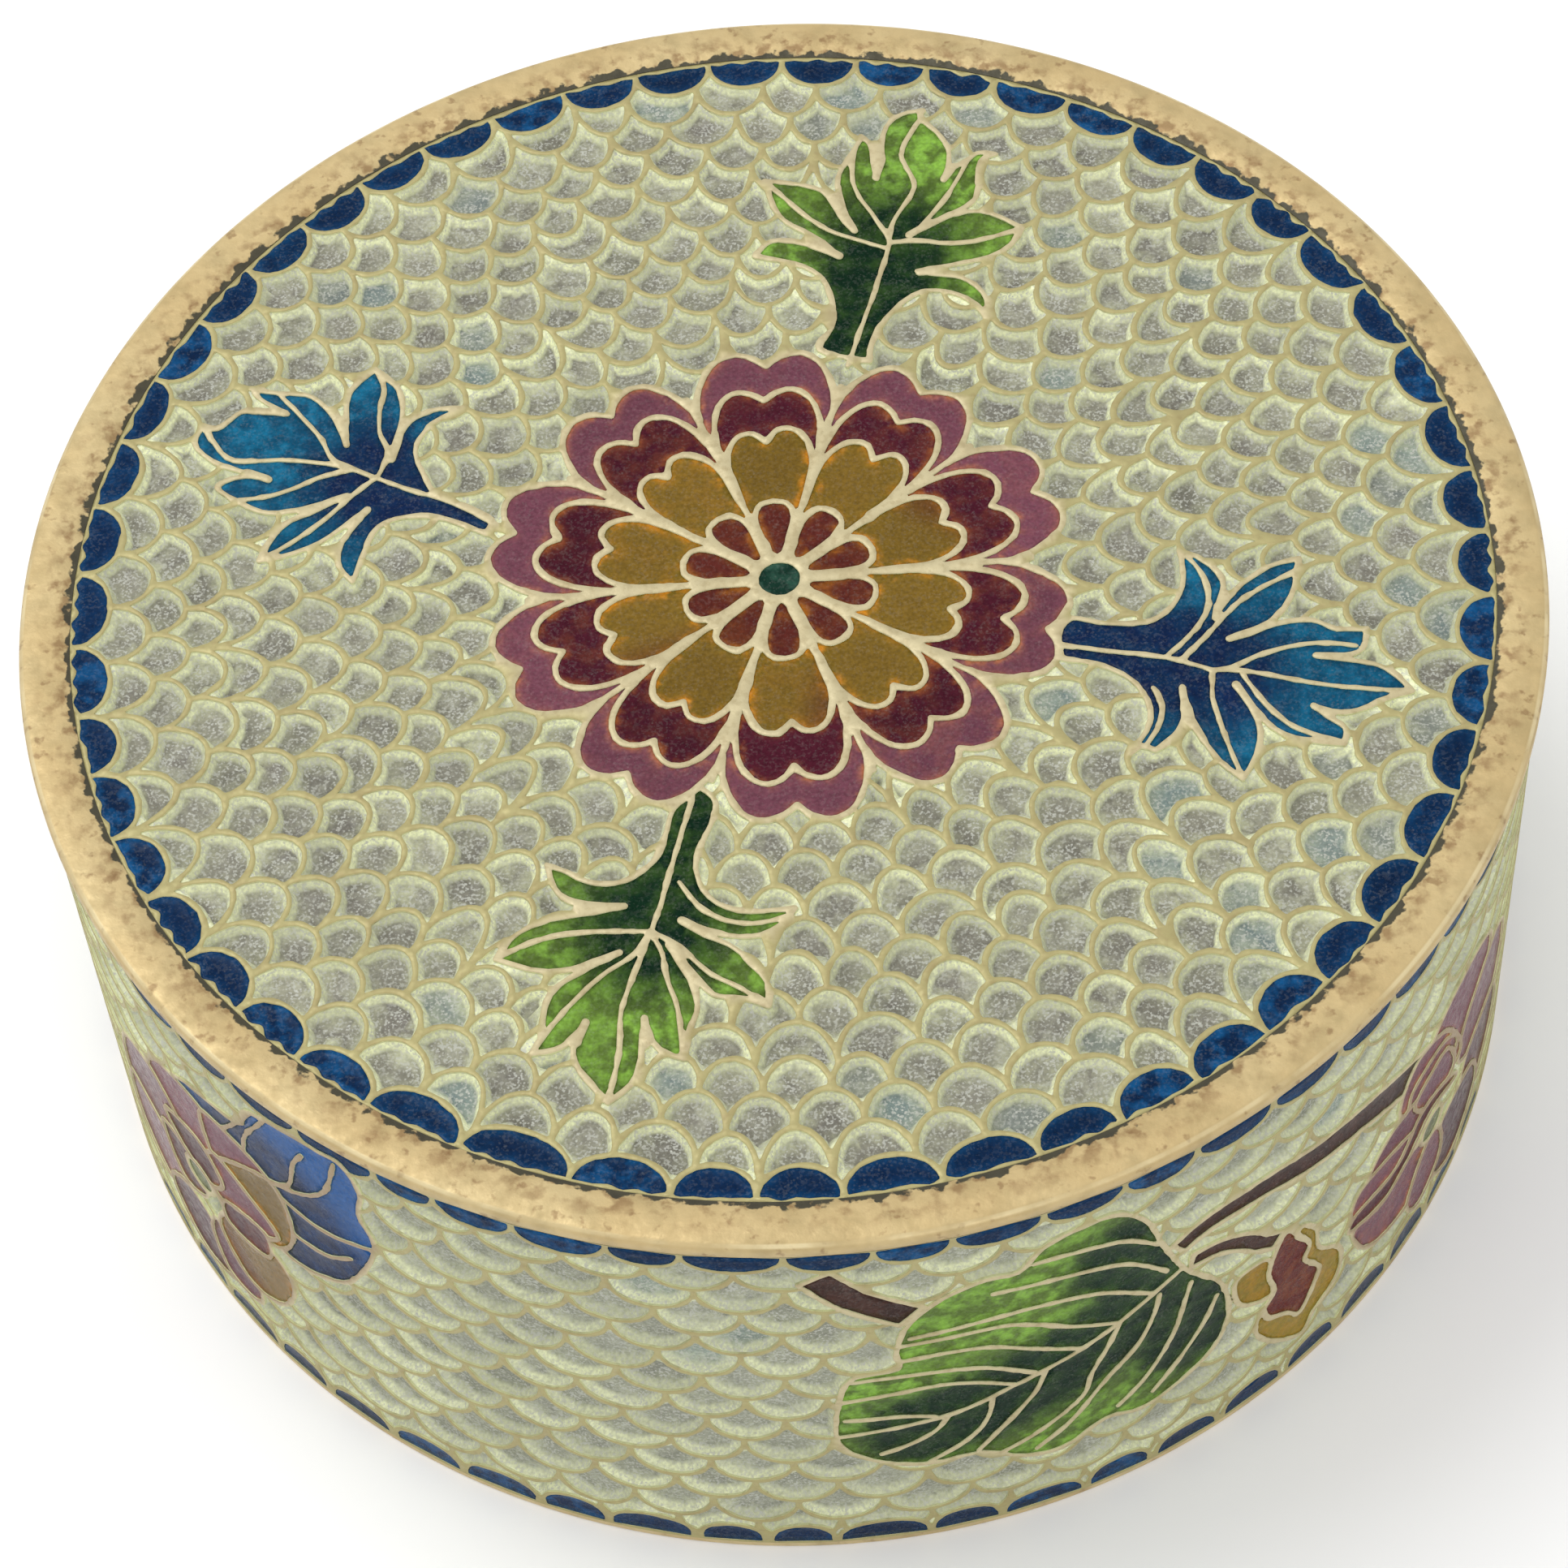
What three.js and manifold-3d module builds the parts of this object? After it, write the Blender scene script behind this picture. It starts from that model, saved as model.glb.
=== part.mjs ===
// Round enamel box with a lift-off lid, in millimetres.
// +Z is up, the box stands on z = 0, its axis is the Z axis and its front faces -Y.
// The panels are glass fused between brass wires. The wires of the main motifs stand a little proud.
import * as THREE from 'three';
import { mergeVertices } from 'three/addons/utils/BufferGeometryUtils.js';
import Module from 'manifold-3d';

const wasm = await Module();
wasm.setup();

// Overall sizes
const OUTER_RADIUS = 38;
const TOTAL_HEIGHT = 31;
const FACETS = 60;

// Brass rims
const LID_RIM_WIDTH = 2.5;
const LID_RIM_THICKNESS = 0.9;
const EDGE_ROUNDING = 0.3;
const LID_OVERHANG = 0.25;
const MOUTH_RIM_HEIGHT = 0.35;
const FOOT_RIM_HEIGHT = 0.45;
const FOOT_RIM_WIDTH = 2.5;

// Collar under the lid, with the lip that carries the lid panel
const COLLAR_DEPTH = 2.6;
const COLLAR_THICKNESS = 0.6;
const COLLAR_CLEARANCE = 0.25;
const LIP_WIDTH = 0.5;
const LIP_THICKNESS = 0.4;

// Enamel panels
const WALL_THICKNESS = 1.0;
const LID_PANEL_THICKNESS = 1.0;
const FLOOR_THICKNESS = 1.0;
const PANEL_RECESS = 0.2;
const PANEL_CLEARANCE = 0.05;
const FLOOR_CLEARANCE = 0.2;

// Wires that stand proud of the enamel
const WIRE_WIDTH = 0.4;
const WIRE_RELIEF = 0.18;
const WALL_WIRE_ROOT = 0.25;
const MITRE_LIMIT = 0.5;

// Lid pattern
const SCALLOP_COUNT = 53;
const SCALLOP_DEPTH = 1.7;
const SCALLOP_SHOULDER = 0.28;
const FLOWER_PETALS = 10;
const FLOWER_OFFSET = 0.25;
const BEAD_RADIUS = 1.0;
const BEAD_RELIEF = 0.19;
const INNER_PETAL_REACH = 4.9;
const GOLD_PETAL_REACH = 9.4;
const DARK_PETAL_REACH = 12.3;
const OUTER_PETAL_REACH = 14.6;
const PETAL_NOTCH = 0.8;
const LEAF_LENGTH = 17;

// Wall pattern
const MOTIF_HEIGHT = 29.75;
const FRONT_AZIMUTH = -75;
const BACK_AZIMUTH = 105;
const ROSETTE_RADIUS = 8.3;
const ROSETTE_PETALS = 7;

// Levels, from the table up
const footTop = FOOT_RIM_HEIGHT;
const lidRimBottom = TOTAL_HEIGHT - LID_RIM_THICKNESS;
const mouthBottom = lidRimBottom - MOUTH_RIM_HEIGHT;
const lidPanelTop = TOTAL_HEIGHT - PANEL_RECESS;
const lidPanelBottom = lidPanelTop - LID_PANEL_THICKNESS;

// Radii, from the outside in
const wallOuter = OUTER_RADIUS - LID_OVERHANG;
const wallInner = wallOuter - WALL_THICKNESS;
const collarOuter = wallInner - COLLAR_CLEARANCE;
const collarInner = collarOuter - COLLAR_THICKNESS;
const lidWindow = OUTER_RADIUS - LID_RIM_WIDTH;
const lidPanelRadius = lidWindow - PANEL_CLEARANCE;
const lipInner = lidPanelRadius - LIP_WIDTH;
const footOuter = wallOuter;
const footInner = footOuter - FOOT_RIM_WIDTH;
const floorRadius = wallInner - FLOOR_CLEARANCE;

const degrees = THREE.MathUtils.degToRad;
const polar = (radius, angle) => [radius * Math.cos(angle), radius * Math.sin(angle)];

// Turns a profile of [radius, height] points round the Z axis.
function turned(profile) {
  const points = profile.map(([radius, height]) => new THREE.Vector2(radius, height));
  if (THREE.ShapeUtils.isClockWise(points)) {
    points.reverse();
  }
  if (profile.every(([radius]) => radius > 0)) {
    points.push(points[0].clone());
  }
  return new THREE.LatheGeometry(points, FACETS).rotateX(Math.PI / 2);
}

// Merges a geometry's vertices by position alone.
function welded(geometry) {
  const bare = geometry.clone();
  bare.deleteAttribute('normal');
  bare.deleteAttribute('uv');
  return mergeVertices(bare, 1e-4);
}

function toSolid(geometry) {
  const bare = welded(geometry);
  const vertices = new Float32Array(bare.attributes.position.array);
  const triangles = new Uint32Array(bare.index.array);
  const kept = [];
  for (let i = 0; i < triangles.length; i += 3) {
    const [a, b, c] = triangles.subarray(i, i + 3);
    if (a !== b && b !== c && c !== a) {
      kept.push(a, b, c);
    }
  }
  return new wasm.Manifold(
    new wasm.Mesh({ numProp: 3, vertProperties: vertices, triVerts: new Uint32Array(kept) }),
  );
}

function toGeometry(solid) {
  const mesh = solid.getMesh();
  const geometry = new THREE.BufferGeometry();
  geometry.setAttribute('position', new THREE.BufferAttribute(new Float32Array(mesh.vertProperties), 3));
  geometry.setIndex(new THREE.BufferAttribute(new Uint32Array(mesh.triVerts), 1));
  geometry.computeVertexNormals();
  return geometry;
}

// Offsets a polyline by a distance to its left, with mitred corners.
function offsetLine(points, distance, closed) {
  const last = points.length - 1;
  return points.map((point, i) => {
    const before = points[i > 0 ? i - 1 : closed ? last : 0];
    const after = points[i < last ? i + 1 : closed ? 0 : last];
    const first = new THREE.Vector2(point[0] - before[0], point[1] - before[1]);
    const second = new THREE.Vector2(after[0] - point[0], after[1] - point[1]);
    const a = first.lengthSq() > 0 ? first.normalize() : second.clone().normalize();
    const b = second.lengthSq() > 0 ? second.normalize() : a.clone();
    const mitre = new THREE.Vector2(-a.y - b.y, a.x + b.x).normalize();
    const stretch = 1 / Math.max(mitre.y * a.x - mitre.x * a.y, MITRE_LIMIT);
    return [point[0] + mitre.x * distance * stretch, point[1] + mitre.y * distance * stretch];
  });
}

// A wire as a flat strip along a line, standing from z = 0 to WIRE_RELIEF.
function wireStrip(points, closed) {
  const toPoints = (line) => line.map(([x, y]) => new THREE.Vector2(x, y));
  const left = toPoints(offsetLine(points, WIRE_WIDTH / 2, closed));
  const right = toPoints(offsetLine(points, -WIRE_WIDTH / 2, closed));
  let shape;
  if (closed) {
    const size = (line) => Math.abs(THREE.ShapeUtils.area(line));
    const [inner, outer] = size(left) < size(right) ? [left, right] : [right, left];
    shape = new THREE.Shape(outer);
    shape.holes.push(new THREE.Path(inner));
  } else {
    shape = new THREE.Shape([...right, ...left.reverse()]);
  }
  return new THREE.ExtrudeGeometry(shape, { depth: WIRE_RELIEF, bevelEnabled: false });
}

const openWire = (points) => wireStrip(points, false);
const closedWire = (points) => wireStrip(points, true);

// A closed line of petals round a centre. Each petal has the given points: share of its angle, and radius.
function petalLine(count, points, centre) {
  const line = [];
  for (let petal = 0; petal < count; petal += 1) {
    for (const [share, radius] of points) {
      const [x, y] = polar(radius, degrees(90) + ((petal + share) * 2 * Math.PI) / count);
      line.push([x + centre[0], y + centre[1]]);
    }
  }
  return line;
}

// The border of the lid: one wire that runs in scallops round the window, cusps to the rim.
function scallopWires() {
  const cusp = lidWindow - WIRE_WIDTH;
  const belly = lidWindow - SCALLOP_DEPTH;
  const arc = [[0, cusp], [SCALLOP_SHOULDER, belly], [1 - SCALLOP_SHOULDER, belly]];
  return [closedWire(petalLine(SCALLOP_COUNT, arc, [0, 0]))];
}

// The flower: a bead, drop-shaped inner petals and three rings of notched petals.
function flowerWires() {
  const centre = [0, FLOWER_OFFSET];
  const wires = [];
  const ring = (reach) => [
    [-0.5, reach - 2 * PETAL_NOTCH],
    [-0.3, reach],
    [0, reach - PETAL_NOTCH],
    [0.3, reach],
  ];
  for (const reach of [GOLD_PETAL_REACH, DARK_PETAL_REACH, OUTER_PETAL_REACH]) {
    wires.push(closedWire(petalLine(FLOWER_PETALS, ring(reach), centre)));
  }
  const drop = [
    [-0.5, 2 * BEAD_RADIUS],
    [-0.22, INNER_PETAL_REACH - BEAD_RADIUS],
    [0, INNER_PETAL_REACH],
    [0.22, INNER_PETAL_REACH - BEAD_RADIUS],
  ];
  wires.push(closedWire(petalLine(FLOWER_PETALS, drop, centre)));
  for (let petal = 0; petal < FLOWER_PETALS; petal += 1) {
    const angle = degrees(90) + ((petal + 0.5) * 2 * Math.PI) / FLOWER_PETALS;
    const ends = [polar(BEAD_RADIUS, angle), polar(OUTER_PETAL_REACH - PETAL_NOTCH, angle)];
    wires.push(openWire(ends.map(([x, y]) => [x + centre[0], y + centre[1]])));
  }
  const bead = new THREE.SphereGeometry(BEAD_RADIUS, 10, 6);
  bead.scale(1, 1, BEAD_RELIEF / BEAD_RADIUS).translate(...centre, 0);
  wires.push(bead);
  return wires;
}

// One side of a spiky leaf from its stem to its tip, as shares of its length: along it and across it.
const LEAF_SIDE = [
  [0, 0.055],
  [0.2, 0.07],
  [0.3, 0.2],
  [0.27, 0.37],
  [0.42, 0.2],
  [0.5, 0.23],
  [0.62, 0.4],
  [0.65, 0.24],
  [0.72, 0.15],
  [0.86, 0.24],
  [0.84, 0.1],
];

// Leaf veins in the same shares: the midrib and the wires that run from its fork into the lobes.
const LEAF_VEINS = [
  [[0, 0], [0.47, 0], [0.8, 0.01]],
  [[0.47, 0], [0.56, 0.26]],
  [[0.47, 0], [0.56, -0.26]],
  [[0.47, 0], [0.72, 0.14]],
  [[0.47, 0], [0.72, -0.14]],
];

// The four leaves of the lid: the angle of the stem's foot on the flower, and the way the leaf points.
const LID_LEAVES = [[72, 73.5], [163, 149], [250, 254], [-18, -17.5]];

function leafWires([footAngle, axisAngle]) {
  const [footX, footY] = polar(OUTER_PETAL_REACH - PETAL_NOTCH, degrees(footAngle));
  const along = polar(LEAF_LENGTH, degrees(axisAngle));
  const place = ([u, v]) => [
    footX + along[0] * u - along[1] * v,
    footY + FLOWER_OFFSET + along[1] * u + along[0] * v,
  ];
  const otherSide = LEAF_SIDE.map(([u, v]) => [u, -v]).reverse();
  const outline = [...LEAF_SIDE, [1, 0], ...otherSide];
  return [outline, ...LEAF_VEINS].map((line) => openWire(line.map(place)));
}

// The front of the wall in drawn millimetres: x along the wall and y up from the table.
// First a heart-shaped leaf with its midrib, then the edges of the brown branches.
const WALL_LEAF = [
  [[7.4, 19], [5.7, 24.2], [3.8, 27.1], [1, 27], [-1.2, 25], [-4.2, 24.7], [-6.7, 22], [-7.2, 18.1],
    [-9.6, 17.2], [-10.3, 12], [-8.2, 8.8], [-3.2, 7.9], [-0.8, 6.2], [3.3, 7.2], [7.5, 7.3], [10.3, 11.5],
    [9.8, 15], [7.4, 19]],
  [[7.4, 19], [1.9, 15.4], [-4.7, 12.6], [-10.2, 11.8]],
];
const WALL_BRANCHES = [
  [[-7.2, 22.5], [-11.7, 27.6], [-9.9, 27.9], [-5.7, 23.9]],
  [[7.2, 20.8], [12.3, 22.7], [23.4, 18.9]],
  [[7.6, 20], [15.5, 19.9], [23, 17]],
  [[7.9, 19.7], [10, 19.2], [13.6, 16.1]],
];

// The drooping bud and its husk, the middles of the two large flowers, and the blue leaf behind one of them.
const WALL_BUD = [
  [[13.8, 15.8], [15.6, 12.5], [15.3, 11.2], [16.4, 8.8], [15.3, 5.9], [12.6, 8.9], [13.3, 10.6],
    [13.8, 15.8]],
  [[10.8, 14.5], [12.2, 7.6], [15.5, 3.6], [18.2, 7], [15.4, 15.2]],
];
const ROSETTES = [[27.2, 10.8], [-47, 12.8]];
const BLUE_LEAF = [
  [[-41.3, 21.2], [-37.6, 27.4], [-34, 28], [-33, 21.6], [-35.5, 16.5], [-39.5, 15.2]],
];

// The petal edge of a large flower on the wall.
function rosetteWire(centre) {
  const notch = ROSETTE_RADIUS - 2 * PETAL_NOTCH;
  const edge = [[0, notch], [0.3, ROSETTE_RADIUS], [0.7, ROSETTE_RADIUS]];
  return closedWire(petalLine(ROSETTE_PETALS, edge, centre));
}

// Bends a flat drawing round the wall, with x = 0 at an azimuth and y = 0 on the table.
// The drawing's full height fits between the table and the mouth rim.
// Its underside is let into the wall, so that it meets every facet.
function bent(geometry, azimuth) {
  const scale = mouthBottom / MOTIF_HEIGHT;
  const position = geometry.attributes.position;
  for (let i = 0; i < position.count; i += 1) {
    const angle = degrees(azimuth) + (position.getX(i) * scale) / wallOuter;
    const depth = position.getZ(i) > 0 ? WIRE_RELIEF : -WALL_WIRE_ROOT;
    const [x, y] = polar(wallOuter + depth, angle);
    position.setXYZ(i, x, y, position.getY(i) * scale);
  }
  return geometry;
}

// All the raised wires of the wall: the full picture in front, its leaf and bud again at the back.
function wallWires() {
  const spray = [...WALL_LEAF, ...WALL_BUD];
  const front = [...spray, ...WALL_BRANCHES, ...BLUE_LEAF].map(openWire);
  const flowers = ROSETTES.map(rosetteWire);
  return [
    ...[...front, ...flowers].map((wire) => bent(wire, FRONT_AZIMUTH)),
    ...spray.map(openWire).map((wire) => bent(wire, BACK_AZIMUTH)),
  ];
}

function lidRim() {
  const rounded = OUTER_RADIUS - EDGE_ROUNDING;
  return turned([
    [lidWindow, TOTAL_HEIGHT],
    [rounded, TOTAL_HEIGHT],
    [OUTER_RADIUS, TOTAL_HEIGHT - EDGE_ROUNDING],
    [OUTER_RADIUS, lidRimBottom],
    [collarOuter, lidRimBottom],
    [collarOuter, lidRimBottom - COLLAR_DEPTH],
    [collarInner, lidRimBottom - COLLAR_DEPTH],
    [collarInner, lidPanelBottom - LIP_THICKNESS],
    [lipInner, lidPanelBottom - LIP_THICKNESS],
    [lipInner, lidPanelBottom],
    [lidWindow, lidPanelBottom],
  ]);
}

// A flat disc on the axis from one level to another.
function disc(radius, bottom, top) {
  return turned([[0, bottom], [radius, bottom], [radius, top], [0, top]]);
}

// Joins wires to a body one after another.
function joined(body, wires) {
  return wires.reduce((solid, wire) => solid.add(toSolid(wire)), body);
}

function lidPanel() {
  const plain = toSolid(disc(lidPanelRadius, lidPanelBottom, lidPanelTop));
  const wires = [...scallopWires(), ...flowerWires(), ...LID_LEAVES.flatMap(leafWires)];
  const raised = joined(plain, wires.map((wire) => wire.translate(0, 0, lidPanelTop)));
  const bounds = toSolid(disc(lidPanelRadius, lidPanelBottom, TOTAL_HEIGHT));
  return toGeometry(raised.intersect(bounds));
}

function mouthRim() {
  return turned([
    [wallInner, mouthBottom],
    [wallOuter, mouthBottom],
    [wallOuter, lidRimBottom],
    [wallInner, lidRimBottom],
  ]);
}

function boxWall() {
  const plain = turned([
    [wallInner, footTop],
    [wallOuter, footTop],
    [wallOuter, mouthBottom],
    [wallInner, mouthBottom],
  ]);
  return toGeometry(joined(toSolid(plain), wallWires()));
}

function footRim() {
  return turned([[footInner, 0], [footOuter, 0], [footOuter, footTop], [footInner, footTop]]);
}

function floorPanel() {
  return disc(floorRadius, footTop, footTop + FLOOR_THICKNESS);
}

const BRASS = { color: 0xdcc08a, roughness: 0.45, metalness: 0.9 };
const LID_ENAMEL = { color: 0x8f9488, roughness: 0.2, metalness: 0, transparent: true, opacity: 0.8 };
const WALL_ENAMEL = { color: 0xa9ac98, roughness: 0.2, metalness: 0, transparent: true, opacity: 0.8 };

const box = new THREE.Group();

function addPiece(name, geometry, look) {
  const piece = new THREE.Mesh(geometry, new THREE.MeshStandardMaterial(look));
  piece.name = name;
  box.add(piece);
}

addPiece('lid_rim', lidRim(), BRASS);
addPiece('lid_panel', lidPanel(), LID_ENAMEL);
addPiece('mouth_rim', mouthRim(), BRASS);
addPiece('box_wall', boxWall(), WALL_ENAMEL);
addPiece('foot_rim', footRim(), BRASS);
addPiece('floor_panel', floorPanel(), WALL_ENAMEL);

export default box;
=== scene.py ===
# Looks of the round enamel box: glass cells fused between brass wires, and brass rims.
# The sheets (lid, wall, floor) are drawn flat in millimetres and then put in place.
import math

import bpy
import numpy as np
from mathutils import Matrix, Vector
from mathutils.geometry import delaunay_2d_cdt


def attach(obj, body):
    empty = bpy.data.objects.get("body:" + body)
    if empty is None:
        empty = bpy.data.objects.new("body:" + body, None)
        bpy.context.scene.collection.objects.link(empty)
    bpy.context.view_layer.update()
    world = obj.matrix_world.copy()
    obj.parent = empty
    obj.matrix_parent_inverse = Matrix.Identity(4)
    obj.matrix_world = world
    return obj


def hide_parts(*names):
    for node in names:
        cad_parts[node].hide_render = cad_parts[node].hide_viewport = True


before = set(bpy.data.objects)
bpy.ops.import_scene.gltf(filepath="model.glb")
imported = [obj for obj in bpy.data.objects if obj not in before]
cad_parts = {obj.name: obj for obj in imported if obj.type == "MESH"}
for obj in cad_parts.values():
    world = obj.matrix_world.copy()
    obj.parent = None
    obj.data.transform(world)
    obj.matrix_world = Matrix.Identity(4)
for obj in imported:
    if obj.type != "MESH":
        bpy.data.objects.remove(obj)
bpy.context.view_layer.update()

MM = 0.001
SEED = 7

# Sizes of the box
OUTER_RADIUS = 38.0
TOTAL_HEIGHT = 31.0
WALL_RADIUS = 37.75
PANEL_THICKNESS = 1.0
LID_RIM_THICKNESS = 0.9
MOUTH_RIM_HEIGHT = 0.35
MOUTH_GAP = 0.02
FOOT_RIM_HEIGHT = 0.45
FOOT_RIM_WIDTH = 2.5
LID_PANEL_TOP = 30.8
LID_PANEL_RADIUS = 35.45
LID_WINDOW_RADIUS = 35.5
LIP_INNER_RADIUS = 34.95
LIP_BOTTOM = 29.4
COLLAR_OUTER_RADIUS = 36.5
COLLAR_INNER_RADIUS = 35.9
COLLAR_BOTTOM = 27.5
RIM_ROUNDING = 0.38
RIM_CHAMFER = 0.1
# The lid's rim rises from its inner edge over a dark crust to its flat top
RIM_EDGE_TOP = 30.84
CRUST_RADIUS = 35.68
CRUST_TOP = 30.9
FLAT_START_RADIUS = 35.93
SHARP_ANGLE = 35
FLOOR_TOP = FOOT_RIM_HEIGHT + PANEL_THICKNESS
FLOOR_RADIUS = 36.55
WALL_BOTTOM = FOOT_RIM_HEIGHT
WALL_TOP = TOTAL_HEIGHT - LID_RIM_THICKNESS - MOUTH_RIM_HEIGHT
WALL_LENGTH = 2 * math.pi * WALL_RADIUS
FRONT_AZIMUTH = math.radians(-75)
BACK_SHIFT = WALL_LENGTH / 2
RIM_SEGMENTS = 360

# Wires and glass
GROUND_WIRE = 0.135
WALL_GROUND_WIRE = 0.125
FLOWER_WIRE = 0.16
LEAF_WIRE = 0.14
VEIN_WIRE = 0.13
SLIT_WIRE = 0.2
WIRE_BEVEL = 0.03
WIRE_STAND = 0.015
MOTIF_STAND = 0.05
WIRE_UNEVENNESS = 0.03
UNEVEN_RANGE = (-2.5, 0.8)
COARSE_BUMP_STEPS = 6
FINE_BUMP_STEPS = 2
FINE_BUMP_SHARE = 0.6
GLASS_EDGE_DROP = 0.03
GLASS_DISH = 0.08
DISH_REACH = 0.45
GLASS_UNDER_WIRE = 0.03
SMALLEST_CELL = 0.12

# The milky layer in the clear cells climbs up the wires like the side of a bowl
MILK_DEPTH = 0.6
MILK_EDGE_DEPTH = 0.07
MILK_RINGS = (0.14, 0.26)
RING_CLEARANCE = 0.85

# Rings of points along the borders of the coloured cells, for even colours there
COLOUR_RINGS = (0.18, 0.4)
# How far the painted light near the wires reaches into a coloured cell
NEAR_WIRE_REACH = 0.28
PETAL_ZONES = ("mauve", "maroon", "gold", "wall_blue")

# Grid of the distance field
GRID_STEP = 0.1
FIELD_REACH = 1.3
SEAM_MARGIN = 6.0
LINE_TOLERANCE = 0.018
TOP_POINT_STEP = 0.6
MILK_POINT_STEP = 0.9
TOP_POINT_CLEARANCE = 0.25
CIRCLE_POINTS = 240

rng = np.random.default_rng(SEED)


def rgb(text):
    """Linear colour of a hex sRGB colour."""
    values = np.array([int(text[i:i + 2], 16) for i in (0, 2, 4)]) / 255
    return np.where(values <= 0.04045, values / 12.92, ((values + 0.055) / 1.055) ** 2.4)


# Colours
BRASS = rgb("B9A272")
BRASS_LIGHT = rgb("C8B78A")
# Painted highlight for the rims' outer edge
BRASS_EDGE_HIGHLIGHT = rgb("E0D2A8")
BRASS_BROWN = rgb("7A5A34")
BRASS_OLIVE = rgb("2E2E22")
GROUND_WIRE_TAN = rgb("A39A68")
MOTIF_WIRE_CREAM = rgb("BAAE88")
PETAL_WIRE_TAN = rgb("8E765A")
WIRE_TAN = rgb("8E7C52")
# Painted light: the wires' inner faces get this pale colour, as lit through the glass
PAINTED_LIT_WIRE_SIDE = rgb("DADCAA")
LID_GREY = rgb("6E6A64")
WALL_GREY = rgb("888A7E")
FLOOR_GREY = rgb("7C7E72")
# Pale cream of the clear enamel; in the milky layer it is painted along the wires as light from the lit wire
# walls
LID_PALE = rgb("EEF2C6")
WALL_PALE = rgb("E6EAC2")
WHITE = rgb("C8C9C2")
TEAL = rgb("5E9AA6")
NAVY = rgb("061C3A")
CERULEAN = rgb("155C92")
MAUVE = rgb("623845")
MAUVE_LIGHT = rgb("88525A")
MAROON = rgb("3E1220")
MAROON_LIGHT = rgb("64222C")
GOLD = rgb("6E5620")
ORANGE = rgb("D08420")
DROP_RED = rgb("52221C")
BEAD_GREEN = rgb("0E2C22")
BEAD_LIGHT = rgb("6FA890")
LEAF_DARK = rgb("072314")
LEAF_LIME = rgb("50662A")
LEAF_GLINT = rgb("86B446")
LEAF_AQUA = rgb("186A8C")
LEAF_NAVY = rgb("0A1E40")
LEAF_BLUE = rgb("0C4662")
SKY_BLUE = rgb("0C4C88")
BRANCH_BROWN = rgb("32201C")
BRANCH_LIGHT = rgb("5A3A30")
BUD_RED = rgb("581610")
HUSK_GOLD = rgb("7C6818")
HEART_OLIVE = rgb("5C6044")


def smooth(value, low, high):
    share = np.clip((value - low) / (high - low), 0, 1)
    return share * share * (3 - 2 * share)


def mixed(first, second, share):
    share = np.asarray(share)[..., None]
    return first * (1 - share) + second * share


def polar(radius, angle):
    return np.stack([radius * np.cos(angle), radius * np.sin(angle)], -1)


def circle(radius, count=CIRCLE_POINTS):
    return polar(radius, np.arange(count) * 2 * math.pi / count)


def curve(points, steps, closed=False):
    """A smooth line through points."""
    points = np.asarray(points, float)
    count = len(points)
    out = []
    spans = count if closed else count - 1
    for i in range(spans):
        if closed:
            a, b, c, d = (points[(i + k) % count] for k in (-1, 0, 1, 2))
        else:
            a, b, c, d = (points[min(max(i + k, 0), count - 1)] for k in (-1, 0, 1, 2))
        for t in np.arange(steps) / steps:
            out.append(0.5 * (2 * b + (c - a) * t + (2 * a - 5 * b + 4 * c - d) * t ** 2
                              + (3 * b - a - 3 * c + d) * t ** 3))
    out.append(points[0] if closed else points[-1])
    return np.array(out)


def ring(points, steps):
    return curve(points, steps, closed=True)


def inside(points, polygon):
    """True for points inside a closed line."""
    x, y = points[..., 0], points[..., 1]
    result = np.zeros(x.shape, bool)
    before = polygon[-1]
    for after in polygon:
        if before[1] != after[1]:
            crosses = (before[1] > y) != (after[1] > y)
            at = (after[0] - before[0]) * (y - before[1]) / (after[1] - before[1]) + before[0]
            result ^= crosses & (x < at)
        before = after
    return result


def distance_to_line(points, line):
    """Distance of points to an open line."""
    best = np.full(points.shape[:-1], 1e9)
    for a, b in zip(line[:-1], line[1:]):
        along = b - a
        square = along @ along
        if square == 0:
            continue
        share = np.clip(((points - a) @ along) / square, 0, 1)
        best = np.minimum(best, np.linalg.norm(points - a - share[..., None] * along, axis=-1))
    return best


def cloud(rows, columns, size, random):
    """Smooth seeded noise on a grid, about one bump per size steps. It wraps in x."""
    count_x = columns // size
    coarse = random.normal(0, 1, (rows // size + 2, count_x))
    y = np.arange(rows) / size
    x = np.arange(columns) * count_x / columns
    row, column = y.astype(int), x.astype(int)
    fy, fx = smooth(y - row, 0, 1)[:, None], smooth(x - column, 0, 1)[None]
    after = (column + 1) % count_x
    lower = coarse[row][:, column] * (1 - fx) + coarse[row][:, after] * fx
    upper = coarse[row + 1][:, column] * (1 - fx) + coarse[row + 1][:, after] * fx
    return lower * (1 - fy) + upper * fy


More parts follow.
